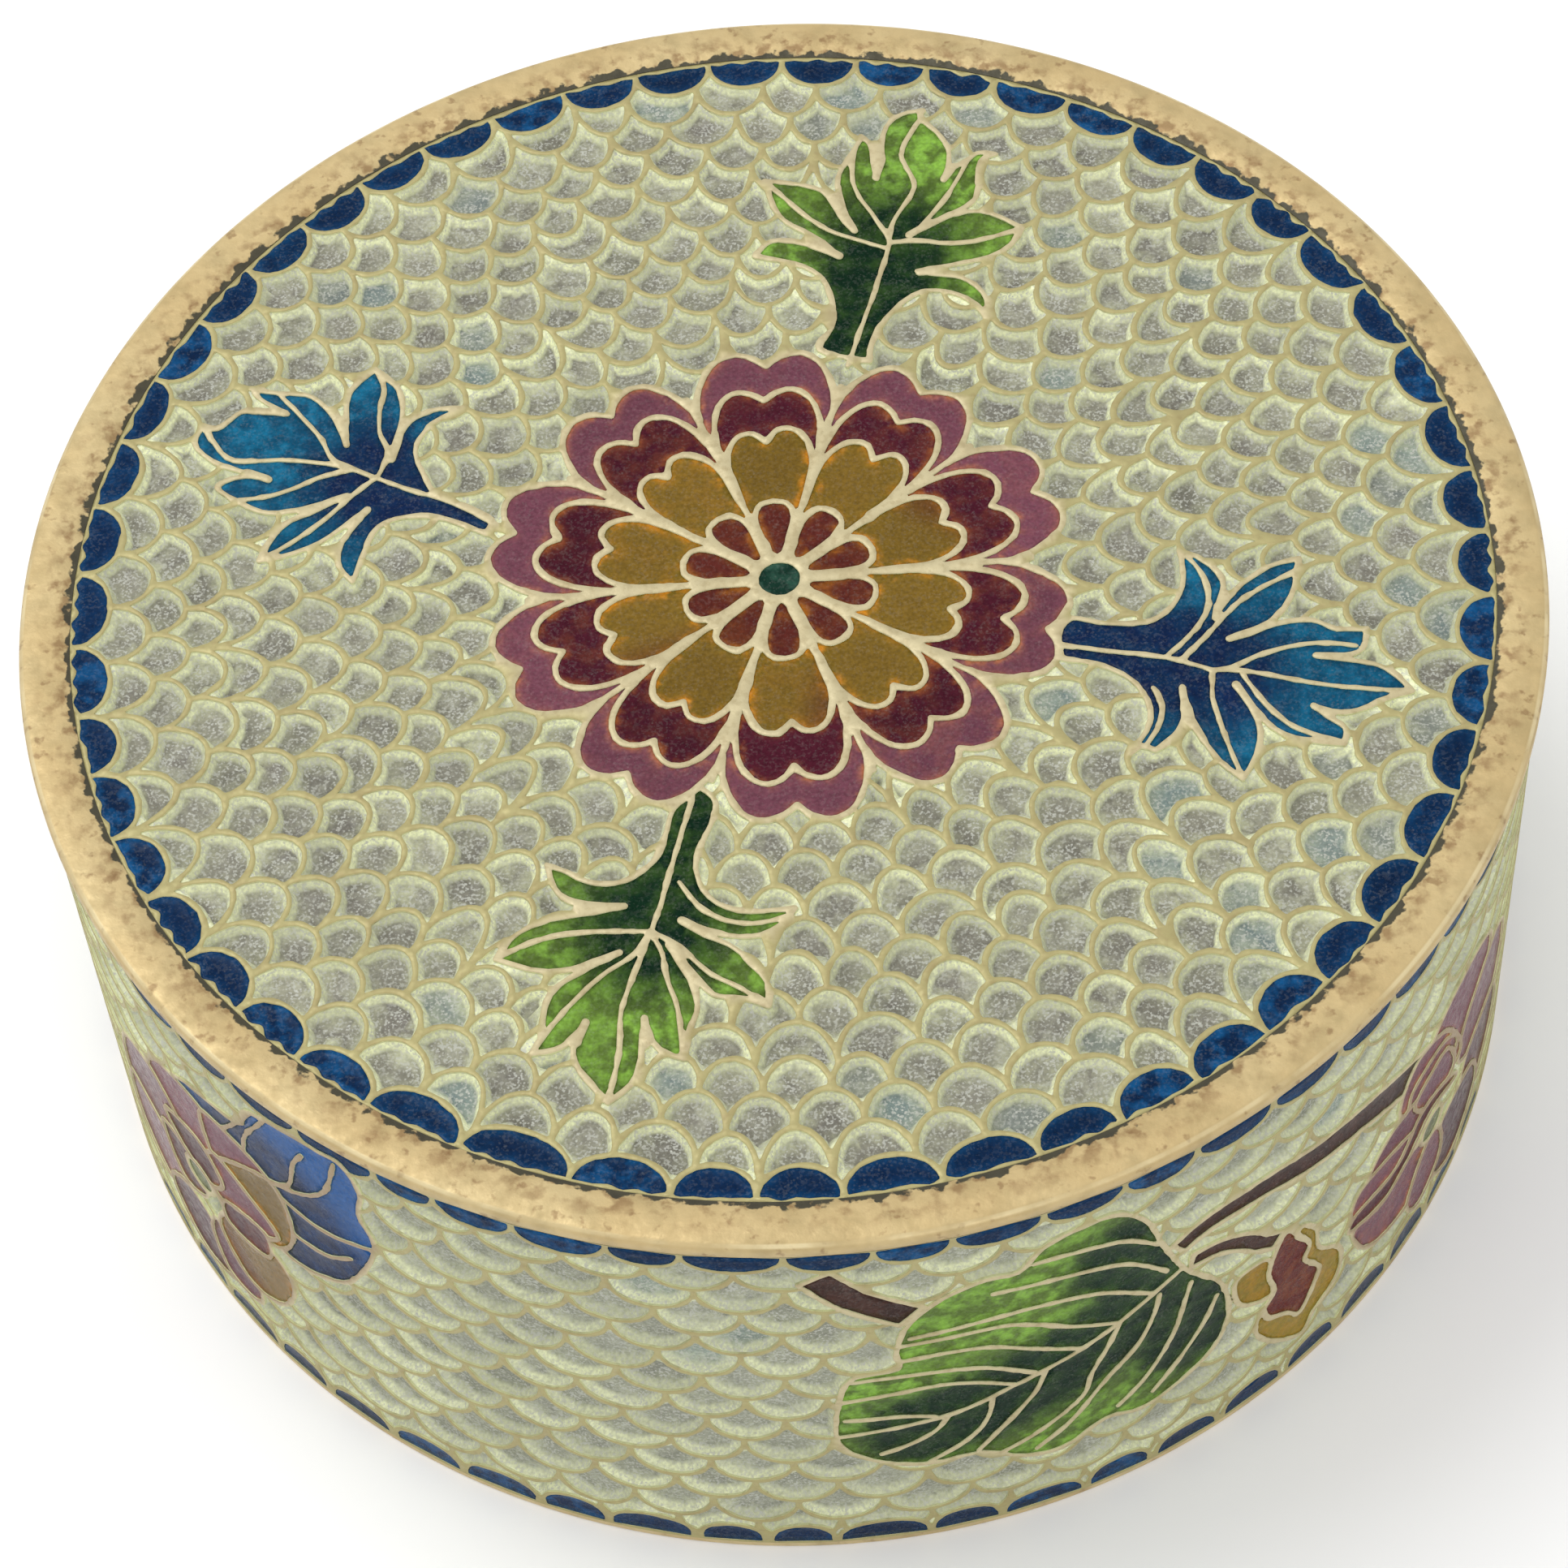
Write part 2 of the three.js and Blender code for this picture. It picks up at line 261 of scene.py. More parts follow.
class Sheet:
    """A flat drawing of wires and coloured zones on a grid."""

    def __init__(self, low, high, wraps=False):
        self.low = np.array(low, float)
        self.wraps = wraps
        size = np.array(high) - self.low
        self.nx = int(round(size[0] / GRID_STEP)) + (0 if wraps else 1)
        self.ny = int(round(size[1] / GRID_STEP)) + 1
        self.step = np.array([size[0] / (self.nx if wraps else self.nx - 1), size[1] / (self.ny - 1)])
        self.ground = np.full((self.ny, self.nx), FIELD_REACH)
        self.motif = np.full((self.ny, self.nx), FIELD_REACH)
        self.zone = np.zeros((self.ny, self.nx), int)
        self.zones = ["ground"]

    def window(self, points, margin):
        """Grid rows, columns and positions round some points."""
        low = np.floor((points.min(0) - margin - self.low) / self.step).astype(int)
        high = np.ceil((points.max(0) + margin - self.low) / self.step).astype(int)
        rows = np.arange(max(low[1], 0), min(high[1], self.ny - 1) + 1)
        if self.wraps:
            columns = np.arange(low[0], high[0] + 1)
        else:
            columns = np.arange(max(low[0], 0), min(high[0], self.nx - 1) + 1)
        x = self.low[0] + columns * self.step[0]
        y = self.low[1] + rows * self.step[1]
        grid = np.stack(np.meshgrid(x, y), -1)
        return rows, columns % self.nx, grid

    def wire(self, line, half_width, motif=False):
        """Draws a wire along a line."""
        line = np.asarray(line, float)
        for start in range(0, len(line) - 1, 8):
            part = line[start:start + 9]
            rows, columns, grid = self.window(part, FIELD_REACH)
            if len(rows) == 0 or len(columns) == 0:
                continue
            field = self.motif if motif else self.ground
            where = np.ix_(rows, columns)
            field[where] = np.minimum(field[where], distance_to_line(grid, part) - half_width)

    def within(self, polygon):
        """Grid places round a closed line, and which of them lie inside it."""
        polygon = np.asarray(polygon, float)
        rows, columns, grid = self.window(polygon, 0)
        return np.ix_(rows, columns), inside(grid, polygon)

    def clear(self, polygon, motif=False):
        """Takes the wires of one kind away inside a closed line."""
        where, covered = self.within(polygon)
        field = self.motif if motif else self.ground
        field[where] = np.where(covered, FIELD_REACH, field[where])

    def paint(self, polygon, name):
        """Gives the inside of a closed line a zone."""
        if name not in self.zones:
            self.zones.append(name)
        where, covered = self.within(polygon)
        self.zone[where] = np.where(covered, self.zones.index(name), self.zone[where])

    def finish(self, border):
        """Merges both kinds of wire, a little uneven and rounded, inside an even border."""
        uneven = cloud(self.ny, self.nx, COARSE_BUMP_STEPS, rng)
        uneven = uneven + FINE_BUMP_SHARE * cloud(self.ny, self.nx, FINE_BUMP_STEPS, rng)
        field = np.minimum(self.ground, self.motif) + WIRE_UNEVENNESS * np.clip(uneven, *UNEVEN_RANGE)
        beside = 0.15
        own = 0.7
        for axis in (0, 1):
            before = np.roll(field, 1, axis)
            after = np.roll(field, -1, axis)
            field = beside * before + own * field + beside * after
        field = np.minimum(field, border)
        self.field = np.where(np.abs(field) < 1e-6, 1e-6, field)

    def sample(self, field, points):
        """Values of a field at points, between the grid's own."""
        place = (points - self.low) / self.step
        if not self.wraps:
            place[:, 0] = np.clip(place[:, 0], 0, self.nx - 1.001)
        place[:, 1] = np.clip(place[:, 1], 0, self.ny - 1.001)
        cell = np.floor(place).astype(int)
        fx, fy = (place - cell).T
        x0, x1 = cell[:, 0] % self.nx, (cell[:, 0] + 1) % self.nx
        y0, y1 = cell[:, 1], cell[:, 1] + 1
        lower = field[y0, x0] * (1 - fx) + field[y0, x1] * fx
        upper = field[y1, x0] * (1 - fx) + field[y1, x1] * fx
        return lower * (1 - fy) + upper * fy

    def slope(self, points):
        """Direction from the wires into the glass."""
        reach = GRID_STEP
        shift_x, shift_y = np.array([reach, 0]), np.array([0, reach])
        dx = self.sample(self.field, points + shift_x) - self.sample(self.field, points - shift_x)
        dy = self.sample(self.field, points + shift_y) - self.sample(self.field, points - shift_y)
        length = np.maximum(np.hypot(dx, dy), 1e-6)
        return np.stack([dx / length, dy / length], -1)

    def moved_in(self, border, reach):
        """The points of a border moved into the glass, where they stay clear of other wires."""
        moved = border + self.slope(border) * reach
        return moved[self.sample(self.field, moved) > reach * RING_CLEARANCE]

    def zone_at(self, points):
        place = np.round((points - self.low) / self.step).astype(int)
        row = np.clip(place[:, 1], 0, self.ny - 1)
        column = place[:, 0] % self.nx
        return self.zone[row, column]


# Pairs of cell edges that a border joins, for each set of corners inside the glass
BORDER_CASES = {
    1: [(0, 3)], 2: [(1, 0)], 3: [(1, 3)], 4: [(2, 1)], 6: [(2, 0)], 7: [(2, 3)], 8: [(3, 2)],
    9: [(0, 2)], 11: [(1, 2)], 12: [(3, 1)], 13: [(0, 1)], 14: [(3, 0)],
}
SADDLE_CASES = {(5, True): [(0, 1), (2, 3)], (5, False): [(0, 3), (2, 1)],
                (10, True): [(3, 0), (1, 2)], (10, False): [(1, 0), (3, 2)]}


def borders(sheet):
    """Closed lines round every glass cell of a sheet."""
    field, nx, ny = sheet.field, sheet.nx, sheet.ny
    glass = field > 0
    right = np.roll(glass, -1, 1)
    corners = glass[:-1] + 2 * right[:-1] + 4 * right[1:] + 8 * glass[1:]
    if not sheet.wraps:
        corners[:, -1] = 0
    following = np.full(2 * nx * ny, -1)

    def edge_ids(rows, columns, side):
        after = (columns + 1) % nx
        vertical = nx * ny
        return {0: rows * nx + columns, 1: vertical + rows * nx + after,
                2: (rows + 1) * nx + columns, 3: vertical + rows * nx + columns}[side]

    def join(rows, columns, pairs):
        for start, end in pairs:
            following[edge_ids(rows, columns, start)] = edge_ids(rows, columns, end)

    for case, pairs in BORDER_CASES.items():
        rows, columns = np.nonzero(corners == case)
        join(rows, columns, pairs)
    for (case, filled), pairs in SADDLE_CASES.items():
        rows, columns = np.nonzero(corners == case)
        after = (columns + 1) % nx
        middle = (field[rows, columns] + field[rows, after]
                  + field[rows + 1, columns] + field[rows + 1, after])
        pick = (middle > 0) == filled
        join(rows[pick], columns[pick], pairs)

    ids = np.nonzero(following >= 0)[0]
    vertical = ids >= nx * ny
    local = ids % (nx * ny)
    rows, columns = local // nx, local % nx
    other_rows = np.where(vertical, rows + 1, rows)
    other_columns = np.where(vertical, columns, (columns + 1) % nx)
    first = field[rows, columns]
    second = field[other_rows, other_columns]
    share = first / (first - second)
    x = sheet.low[0] + (columns + np.where(vertical, 0, share)) * sheet.step[0]
    y = sheet.low[1] + (rows + np.where(vertical, share, 0)) * sheet.step[1]
    place = np.zeros((2 * nx * ny, 2))
    place[ids] = np.stack([x, y], -1)

    length = nx * sheet.step[0]
    seen = np.zeros(2 * nx * ny, bool)
    loops = []
    for start in ids:
        if seen[start]:
            continue
        chain = []
        at = start
        while at >= 0 and not seen[at]:
            seen[at] = True
            chain.append(at)
            at = following[at]
        points = place[chain]
        if sheet.wraps:
            jumps = np.round(np.diff(points[:, 0]) / length)
            points[1:, 0] -= np.cumsum(jumps) * length
        if len(points) > 5:
            loops.append(points)
    return loops


def area(loop):
    x, y = loop[:, 0], loop[:, 1]
    return 0.5 * np.sum(x * np.roll(y, -1) - np.roll(x, -1) * y)


def simplified(loop):
    """The loop with only the points that its shape needs."""
    count = len(loop)
    start = int(np.argmax(np.linalg.norm(loop - loop.mean(0), axis=1)))
    loop = np.roll(loop, -start, 0)
    far = int(np.argmax(np.linalg.norm(loop - loop[0], axis=1)))
    closed = np.vstack([loop, loop[:1]])
    kept = {0, far}
    spans = [(0, far), (far, count)]
    while spans:
        first, last = spans.pop()
        if last - first < 2:
            continue
        a, b = closed[first], closed[last]
        along = b - a
        between = closed[first + 1:last] - a
        off = np.abs(between[:, 0] * along[1] - between[:, 1] * along[0]) / max(np.hypot(*along), 1e-9)
        worst = int(np.argmax(off))
        if off[worst] > LINE_TOLERANCE:
            middle = first + 1 + worst
            kept.add(middle)
            spans += [(first, middle), (middle, last)]
    return loop[sorted(kept)]


def numbered(loops):
    """The numbers of each loop's points when the loops are stacked."""
    numbers = []
    start = 0
    for loop in loops:
        numbers.append(list(range(start, start + len(loop))))
        start += len(loop)
    return numbers


def odd(count):
    return count % 2 == 1


def even(count):
    return count % 2 == 0


def triangulated(points, loops, keep):
    """Triangles between points, with loops as borders.

    keep tells from the number of loops round a triangle whether it stays.
    """
    loops = [names if area(points[names]) > 0 else names[::-1] for names in loops]
    found = delaunay_2d_cdt([Vector(point) for point in points], [], loops, 0, 1e-6)
    places, _, faces, originals, _, owners = found
    number = [names[0] if names else -1 for names in originals]
    kept = []
    for face, owner in zip(faces, owners):
        corners = [number[corner] for corner in face]
        if keep(len(owner)) and min(corners) >= 0:
            kept.append(corners)
    return kept


class Cells:
    """The glass cells of a sheet as outlines, and the wires between them."""

    def __init__(self, sheet):
        self.sheet = sheet
        found = [simplified(loop) for loop in borders(sheet) if abs(area(loop)) > SMALLEST_CELL]
        found = [loop for loop in found if len(loop) > 2 and abs(area(loop)) > SMALLEST_CELL]
        self.outers = [loop for loop in found if area(loop) > 0]
        holes = [loop for loop in found if area(loop) < 0]
        self.holes = [[] for _ in self.outers]
        for hole in holes:
            for i, outer in enumerate(self.outers):
                low, high = outer.min(0), outer.max(0)
                if (hole[0] > low).all() and (hole[0] < high).all() and inside(hole[0], outer):
                    self.holes[i].append(hole)
                    break

    def loops(self, i):
        return [self.outers[i], *self.holes[i]]

    def middle(self, i):
        """A point of the cell, away from its wires."""
        loop = self.outers[i]
        low, high = loop.min(0), loop.max(0)
        x = np.arange(low[0], high[0], GRID_STEP)
        y = np.arange(low[1], high[1], GRID_STEP)
        grid = np.stack(np.meshgrid(x, y), -1).reshape(-1, 2)
        grid = grid[inside(grid, loop)]
        if len(grid) == 0:
            return loop.mean(0)
        depth = self.sheet.sample(self.sheet.field, grid)
        return grid[int(np.argmax(depth))]


class Builder:
    """Collects the vertices and faces of one piece."""

    def __init__(self):
        self.points = []
        self.colours = []
        self.glints = []
        self.faces = []
        self.slots = []
        self.count = 0

    def add(self, points, colours=None, glints=None):
        start = self.count
        points = np.asarray(points, float)
        self.points.append(points)
        self.count += len(points)
        plain = np.tile([0.5, 0.5, 0.5, 1.0], (len(points), 1))
        self.colours.append(plain if colours is None else colours)
        self.glints.append(plain * [1, 1, 1, 0] if glints is None else glints)
        return start

    def face(self, faces, start=0, slot=0):
        faces = np.asarray(faces, int) + start
        self.faces.extend(faces.tolist())
        self.slots.extend([slot] * len(faces))

    def mesh(self, name, place, materials, slot_name, node):
        points = place(np.vstack(self.points)) * MM
        data = bpy.data.meshes.new(name)
        data.from_pydata(points.tolist(), [], self.faces)
        for material in materials:
            data.materials.append(material)
        data.polygons.foreach_set("material_index", np.array(self.slots, np.int32))
        data.polygons.foreach_set("use_smooth", np.ones(len(self.faces), bool))
        for label, values in (("tint", self.colours), ("glint", self.glints)):
            attribute = data.color_attributes.new(label, "FLOAT_COLOR", "POINT")
            attribute.data.foreach_set("color", np.vstack(values).astype(np.float32).ravel())
        data.validate()
        data.update()
        piece = bpy.data.objects.new(name, data)
        bpy.context.scene.collection.objects.link(piece)
        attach(piece, "root")
        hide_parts(node)
        return piece


# Materials

# Most noise lies between these two values
NOISE_LOW = 0.3
NOISE_HIGH = 0.7


def node_tree(name):
    material = bpy.data.materials.new(name)
    material.use_nodes = True
    tree = material.node_tree
    shader = tree.nodes["Principled BSDF"]
    return material, tree, shader


def position(tree):
    return tree.nodes.new("ShaderNodeTexCoord").outputs["Object"]


def math_node(tree, kind, operation, first, second=None):
    """A node of one kind that works on one or two sockets."""
    node = tree.nodes.new(kind)
    node.operation = operation
    tree.links.new(first, node.inputs[0])
    if second is not None:
        tree.links.new(second, node.inputs[1])
    return node


def ranged(tree, value, low, high, out_low, out_high):
    node = tree.nodes.new("ShaderNodeMapRange")
    node.inputs["From Min"].default_value = low
    node.inputs["From Max"].default_value = high
    node.inputs["To Min"].default_value = out_low
    node.inputs["To Max"].default_value = out_high
    tree.links.new(value, node.inputs["Value"])
    return node.outputs["Result"]


def noise(tree, scale, detail, low, high, out_low=0, out_high=1):
    """Noise with scale bumps to the metre, spread from one range of values to another."""
    texture = tree.nodes.new("ShaderNodeTexNoise")
    texture.inputs["Scale"].default_value = scale
    texture.inputs["Detail"].default_value = detail
    tree.links.new(position(tree), texture.inputs["Vector"])
    return ranged(tree, texture.outputs["Fac"], low, high, out_low, out_high)


def product(tree, first, second):
    return math_node(tree, "ShaderNodeMath", "MULTIPLY", first, second).outputs[0]


def blended(tree, share, first, second):
    """Mixes two colours by a socket's share. Each is a socket or a plain colour."""
    node = tree.nodes.new("ShaderNodeMix")
    node.data_type = "RGBA"
    tree.links.new(share, node.inputs["Factor"])
    for name, colour in (("A", first), ("B", second)):
        socket = [s for s in node.inputs if s.name == name and s.type == "RGBA"][0]
        if isinstance(colour, np.ndarray):
            socket.default_value = (*colour, 1)
        else:
            tree.links.new(colour, socket)
    return [s for s in node.outputs if s.type == "RGBA"][0]


def attribute(tree, name):
    node = tree.nodes.new("ShaderNodeAttribute")
    node.attribute_name = name
    return node.outputs["Color"], node.outputs["Alpha"]


def patched(tree, tone, colour, scale, detail, low, high, most):
    """A tone with soft patches of another colour, which take over at most a share of it."""
    return blended(tree, noise(tree, scale, detail, low, high, 0, most), tone, colour)


def set_roughness(tree, shader, scale, detail, low, high):
    uneven = noise(tree, scale, detail, NOISE_LOW, NOISE_HIGH, low, high)
    tree.links.new(uneven, shader.inputs["Roughness"])


def set_bump(tree, shader, scale, detail, distance):
    node = tree.nodes.new("ShaderNodeBump")
    node.inputs["Distance"].default_value = distance * MM
    tree.links.new(noise(tree, scale, detail, 0, 1), node.inputs["Height"])
    tree.links.new(node.outputs["Normal"], shader.inputs["Normal"])


def speckles(tree, scale, size):
    """Small round bubbles."""
    texture = tree.nodes.new("ShaderNodeTexVoronoi")
    texture.inputs["Scale"].default_value = scale
    tree.links.new(position(tree), texture.inputs["Vector"])
    return ranged(tree, texture.outputs["Distance"], size, size * 0.4, 0, 1)


def glass_material(name, alpha, bubbles, roughness, shine):
    """Enamel: its colours come from the piece, with clouds, bubbles and glints."""
    material, tree, shader = node_tree(name)
    tint, _ = attribute(tree, "tint")
    glint, amount = attribute(tree, "glint")
    clouds = noise(tree, 1100, 3, 0.42, 0.62)
    colour = blended(tree, product(tree, clouds, amount), tint, glint)
    scaled = math_node(tree, "ShaderNodeVectorMath", "SCALE", colour)
    grain = noise(tree, 5200, 2, NOISE_LOW, NOISE_HIGH, 0.82, 1.2)
    tree.links.new(grain, scaled.inputs["Scale"])
    colour = scaled.outputs[0]
    crowd = noise(tree, 900, 2, 0.38, 0.6, 0.45 * bubbles, bubbles)
    for spots in (noise(tree, 6200, 2, 0.52, 0.6, 0, 0.75), speckles(tree, 4200, 0.3)):
        colour = blended(tree, product(tree, spots, crowd), colour, WHITE)
    tree.links.new(colour, shader.inputs["Base Color"])
    set_roughness(tree, shader, 2500, 2, roughness * 0.6, roughness * 1.5)
    set_bump(tree, shader, 1500, 2, 0.03)
    shader.inputs["Alpha"].default_value = alpha
    shader.inputs["Specular IOR Level"].default_value = shine
    return material


def clear_material(name, alpha):
    material, tree, shader = node_tree(name)
    tint, _ = attribute(tree, "tint")
    tree.links.new(tint, shader.inputs["Base Color"])
    set_roughness(tree, shader, 2500, 2, 0.08, 0.25)
    set_bump(tree, shader, 1200, 2, 0.04)
    shader.inputs["Alpha"].default_value = alpha
    shader.inputs["Specular IOR Level"].default_value = 0.3
    return material


def wire_material(name, metallic, roughness, colour=None):
    """Wires in one colour, or else in the colours of the piece."""
    material, tree, shader = node_tree(name)
    if colour is None:
        colour, _ = attribute(tree, "tint")
    tone = patched(tree, colour, WIRE_TAN, 420, 4, 0.5, 0.75, 0.5)
    tone = patched(tree, tone, WIRE_TAN, 2600, 3, 0.5, 0.68, 0.35)
    tree.links.new(tone, shader.inputs["Base Color"])
    set_roughness(tree, shader, 3600, 3, roughness * 0.8, roughness * 1.2)
    set_bump(tree, shader, 3600, 3, 0.02)
    shader.inputs["Metallic"].default_value = metallic
    return material


def rim_material(name, crust_radius):
    """Worn brass with brown specks, a painted highlight on its outer edge, and a dark crumbly tarnish inside
    a radius.
    """
    material, tree, shader = node_tree(name)
    tone = patched(tree, BRASS, BRASS_LIGHT, 160, 4, 0.4, 0.7, 0.5)
    tone = patched(tree, tone, WIRE_TAN, 700, 5, 0.45, 0.7, 0.4)
    tone = patched(tree, tone, BRASS_BROWN, 1500, 5, 0.6, 0.7, 0.6)
    flat = math_node(tree, "ShaderNodeVectorMath", "MULTIPLY", position(tree))
    flat.inputs[1].default_value = (1 / MM, 1 / MM, 0)
    radius = math_node(tree, "ShaderNodeVectorMath", "LENGTH", flat.outputs[0]).outputs["Value"]
    waves = noise(tree, 1100, 5, NOISE_LOW, NOISE_HIGH, -0.35, 0.35)
    ragged = math_node(tree, "ShaderNodeMath", "ADD", radius, waves).outputs[0]
    smudges = noise(tree, 1300, 6, 0.48, 0.64, 0, 0.7)
    near = ranged(tree, ragged, crust_radius + 1.7, crust_radius + 0.4, 0, 1)
    tone = blended(tree, product(tree, smudges, near), tone, BRASS_BROWN)
    # Painted highlight: a bright band of lighter brass along the outer edge, where the light catches it
    rise = ranged(tree, radius, OUTER_RADIUS - 0.3, OUTER_RADIUS - 0.22, 0, 0.6)
    fall = ranged(tree, radius, OUTER_RADIUS - 0.05, OUTER_RADIUS - 0.12, 0, 1)
    painted_edge_highlight = product(tree, product(tree, rise, fall), noise(tree, 260, 4, 0.4, 0.6, 0.1, 1))
    tone = blended(tree, painted_edge_highlight, tone, BRASS_EDGE_HIGHLIGHT)
    dark = ranged(tree, ragged, crust_radius + 0.05, crust_radius - 0.05, 0, 0.95)
    tone = blended(tree, dark, tone, BRASS_OLIVE)
    tree.links.new(tone, shader.inputs["Base Color"])
    set_roughness(tree, shader, 2000, 3, 0.4, 0.62)
    set_bump(tree, shader, 1700, 4, 0.05)
    shader.inputs["Metallic"].default_value = 0.4
    return material


# Turned brass rims


def turned(name, profile, material, slot_name, node, wobble=None):
    """A ring with a closed profile of (radius, height) points. wobble gives some of them a wavy radius."""
    builder = Builder()
    along = np.arange(RIM_SEGMENTS)
    angles = along * 2 * math.pi / RIM_SEGMENTS
    rows = []
    for i, (radius, height) in enumerate(profile):
        radii = np.full(RIM_SEGMENTS, radius)
        if wobble and i in wobble:
            radii = radii + wobble[i](angles)
        rows.append(builder.add(np.column_stack([polar(radii, angles), np.full(RIM_SEGMENTS, height)])))
    after = (along + 1) % RIM_SEGMENTS
    for a, b in zip(rows, rows[1:] + rows[:1]):
        builder.face(np.column_stack([a + along, a + after, b + after, b + along]))
    piece = builder.mesh(name, lambda points: points, [material], slot_name, node)
    piece.data.set_sharp_from_angle(angle=math.radians(SHARP_ANGLE))


def ripple(seed, lowest, highest, height):
    """A smooth seeded wave round the box."""
    waves = 24
    random = np.random.default_rng(seed)
    counts = random.integers(lowest, highest, waves)
    phases = random.uniform(0, 2 * math.pi, waves)

    def wave(angles):
        return height * sum(np.sin(c * angles + p) for c, p in zip(counts, phases)) / math.sqrt(waves)

    return wave


# Patterns of scales

ARC_POINTS = 15
SCALE_FULLNESS = 0.9


def scale_arc(start, end, start_level, end_level, belly, fullness):
    """One scale in turns and levels, from one end round its belly to the other end."""
    swing = np.linspace(0, math.pi, ARC_POINTS)
    middle, half = (start + end) / 2, (end - start) / 2
    turns = middle - half * np.cos(swing)
    share = (1 - np.cos(swing)) / 2
    level = start_level * (1 - share) + end_level * share
    return np.column_stack([turns, level + (belly - level) * np.sin(swing) ** fullness])


def level_line(arcs):
    """Level of a row of arcs at any turn."""
    points = np.vstack(arcs)
    turns = points[:, 0] % 1
    order = np.argsort(turns, kind="stable")
    return lambda turn: np.interp(turn % 1, turns[order], points[order, 1], period=1)


def arc_row(ends, above, belly, wander, fullness=SCALE_FULLNESS):
    """A row of scales between ends that hang from the row above."""
    arcs = []
    for start, end in zip(ends, np.append(ends[1:], ends[0] + 1)):
        depth = belly + rng.normal(0, wander)
        arcs.append(scale_arc(start, end, above(start), above(end), depth, fullness))
    return arcs


def next_ends(arcs, count, wander):
    """Where the scales of the next row start: at the bellies above, with some left out."""
    ends = np.array([arc[ARC_POINTS // 2, 0] for arc in arcs])
    while len(ends) > count:
        gaps = np.append(ends[1:], ends[0] + 1) - ends
        crowd = gaps + np.roll(gaps, 1) + rng.uniform(0, 0.6 / len(ends), len(ends))
        ends = np.delete(ends, int(np.argmin(crowd)))
        for _ in range(3):
            before = np.append(ends[-1] - 1, ends[:-1])
            after = np.append(ends[1:], ends[0] + 1)
            ends = 0.5 * ends + 0.25 * (before + after)
    ends = ends + rng.normal(0, wander / len(ends), len(ends))
    return np.sort(ends)


# Lid drawing, in millimetres with the flower near (0, 0) and the back of the box up

SCALLOP_ANGLES = [
    -175, -169, -163, -156, -150, -143, -137, -130, -123, -114, -105, -98.5, -92, -85.5, -77, -70.5,
    -63.5, -57, -50, -44, -37, -30, -23, -17, -10, -3.5, 3, 9.5, 17, 23.5, 31.5, 38, 44, 51, 57, 64,
    70.5, 76.5, 83, 89.5, 96, 102.5, 109, 116, 122.5, 129, 135.5, 142, 149, 156, 163, 170, 177,
]
SCALLOP_BELLY = 33.5
LID_SCALE_PITCH = 1.93
LID_SCALE_WIDTH = 3.05
LID_FIRST_SCALES = 61
LID_SCALLOP_FULLNESS = 0.85
LID_SCALLOP_WANDER = 0.08
LID_END_WANDER = 0.07
LID_BELLY_WANDER = 0.13
LID_SHIFT_WANDER = 0.045
GROUND_STOP_RADIUS = 12
FLOWER_CENTRE = np.array([0, 0.25])
FLOWER_PETALS = 10
BEAD_RADIUS = 1.15
BEAD_WIRE = 0.12
RAY_RADII = [1.2, 7.5, 12.6]
PETAL_SWAY = 0.35
PETAL_SWELL = 0.09
PETAL_HALF_ANGLE = 180 / FLOWER_PETALS

# Half outlines of the petals: degrees from the petal's middle, and radius
PETALS = {
    "mauve": [(0, 13.75), (3, 14.45), (7, 14.75), (11, 14.35), (14.5, 13.3), (17, 12.1), (18, 11)],
    "maroon": [(0, 11.45), (3, 12.1), (7, 12.35), (11, 11.9), (14.2, 10.9), (16.3, 9.6), (17.6, 8.2),
               (18, 7.4)],
    "gold": [(0, 8.75), (4, 9.45), (9, 9.4), (13.3, 8.7), (16, 7.7), (16.8, 6.8), (17.2, 5.8), (18, 4.6)],
}
DROP = [(0, 4.95), (8, 4.8), (13, 4.25), (15, 3.5), (14.5, 2.7), (13.5, 2.1), (12, 1.65), (0, 1.3)]


def flower_point(axis, offset, radius):
    return polar(np.asarray(radius, float), np.radians(axis + np.asarray(offset, float))) + FLOWER_CENTRE


def petal_outline(half, axis, random):
    """Both halves of a petal, with its notch or tip in the middle."""
    sway = random.normal(0, PETAL_SWAY, 2)[0]
    swell = random.normal(0, PETAL_SWELL, 2)
    sides = []
    for side in (1, -1):
        offsets = [side * a + sway * math.cos(math.radians(5 * a)) for a, _ in half]
        radii = [r + swell[(side + 1) // 2] * (0 < a < PETAL_HALF_ANGLE) for a, r in half]
        sides.append(curve(flower_point(axis, offsets, radii), 4))
    return np.vstack([sides[0][::-1], sides[1][1:]])


def draw_flower(sheet):
    random = np.random.default_rng(SEED + 1)
    axes = [90 + i * 360 / FLOWER_PETALS for i in range(FLOWER_PETALS)]
    outlines = {}
    for name, half in PETALS.items():
        outlines[name] = [petal_outline(half, axis, random) for axis in axes]
    for outline in outlines["mauve"]:
        sheet.clear(np.vstack([outline, FLOWER_CENTRE]))
    for name in PETALS:
        for outline in outlines[name]:
            sheet.paint(np.vstack([outline, FLOWER_CENTRE]), name)
            sheet.wire(outline, FLOWER_WIRE, motif=True)
    angles, radii = np.array(DROP).T
    for axis in axes:
        halves = [curve(flower_point(axis, side * angles, radii), 4) for side in (1, -1)]
        sheet.paint(np.vstack([halves[0], halves[1][::-1]]), "drop")
        lean = random.normal(0, 0.5, 2)
        ray = curve(flower_point(axis + PETAL_HALF_ANGLE, [0, *lean], RAY_RADII), 5)
        for line in (*halves, ray):
            sheet.wire(line, FLOWER_WIRE, motif=True)
    bead = polar(BEAD_RADIUS, np.linspace(0, 2 * math.pi, 25)) + FLOWER_CENTRE
    sheet.clear(bead, motif=True)
    sheet.paint(bead, "bead")
    sheet.wire(bead, BEAD_WIRE, motif=True)


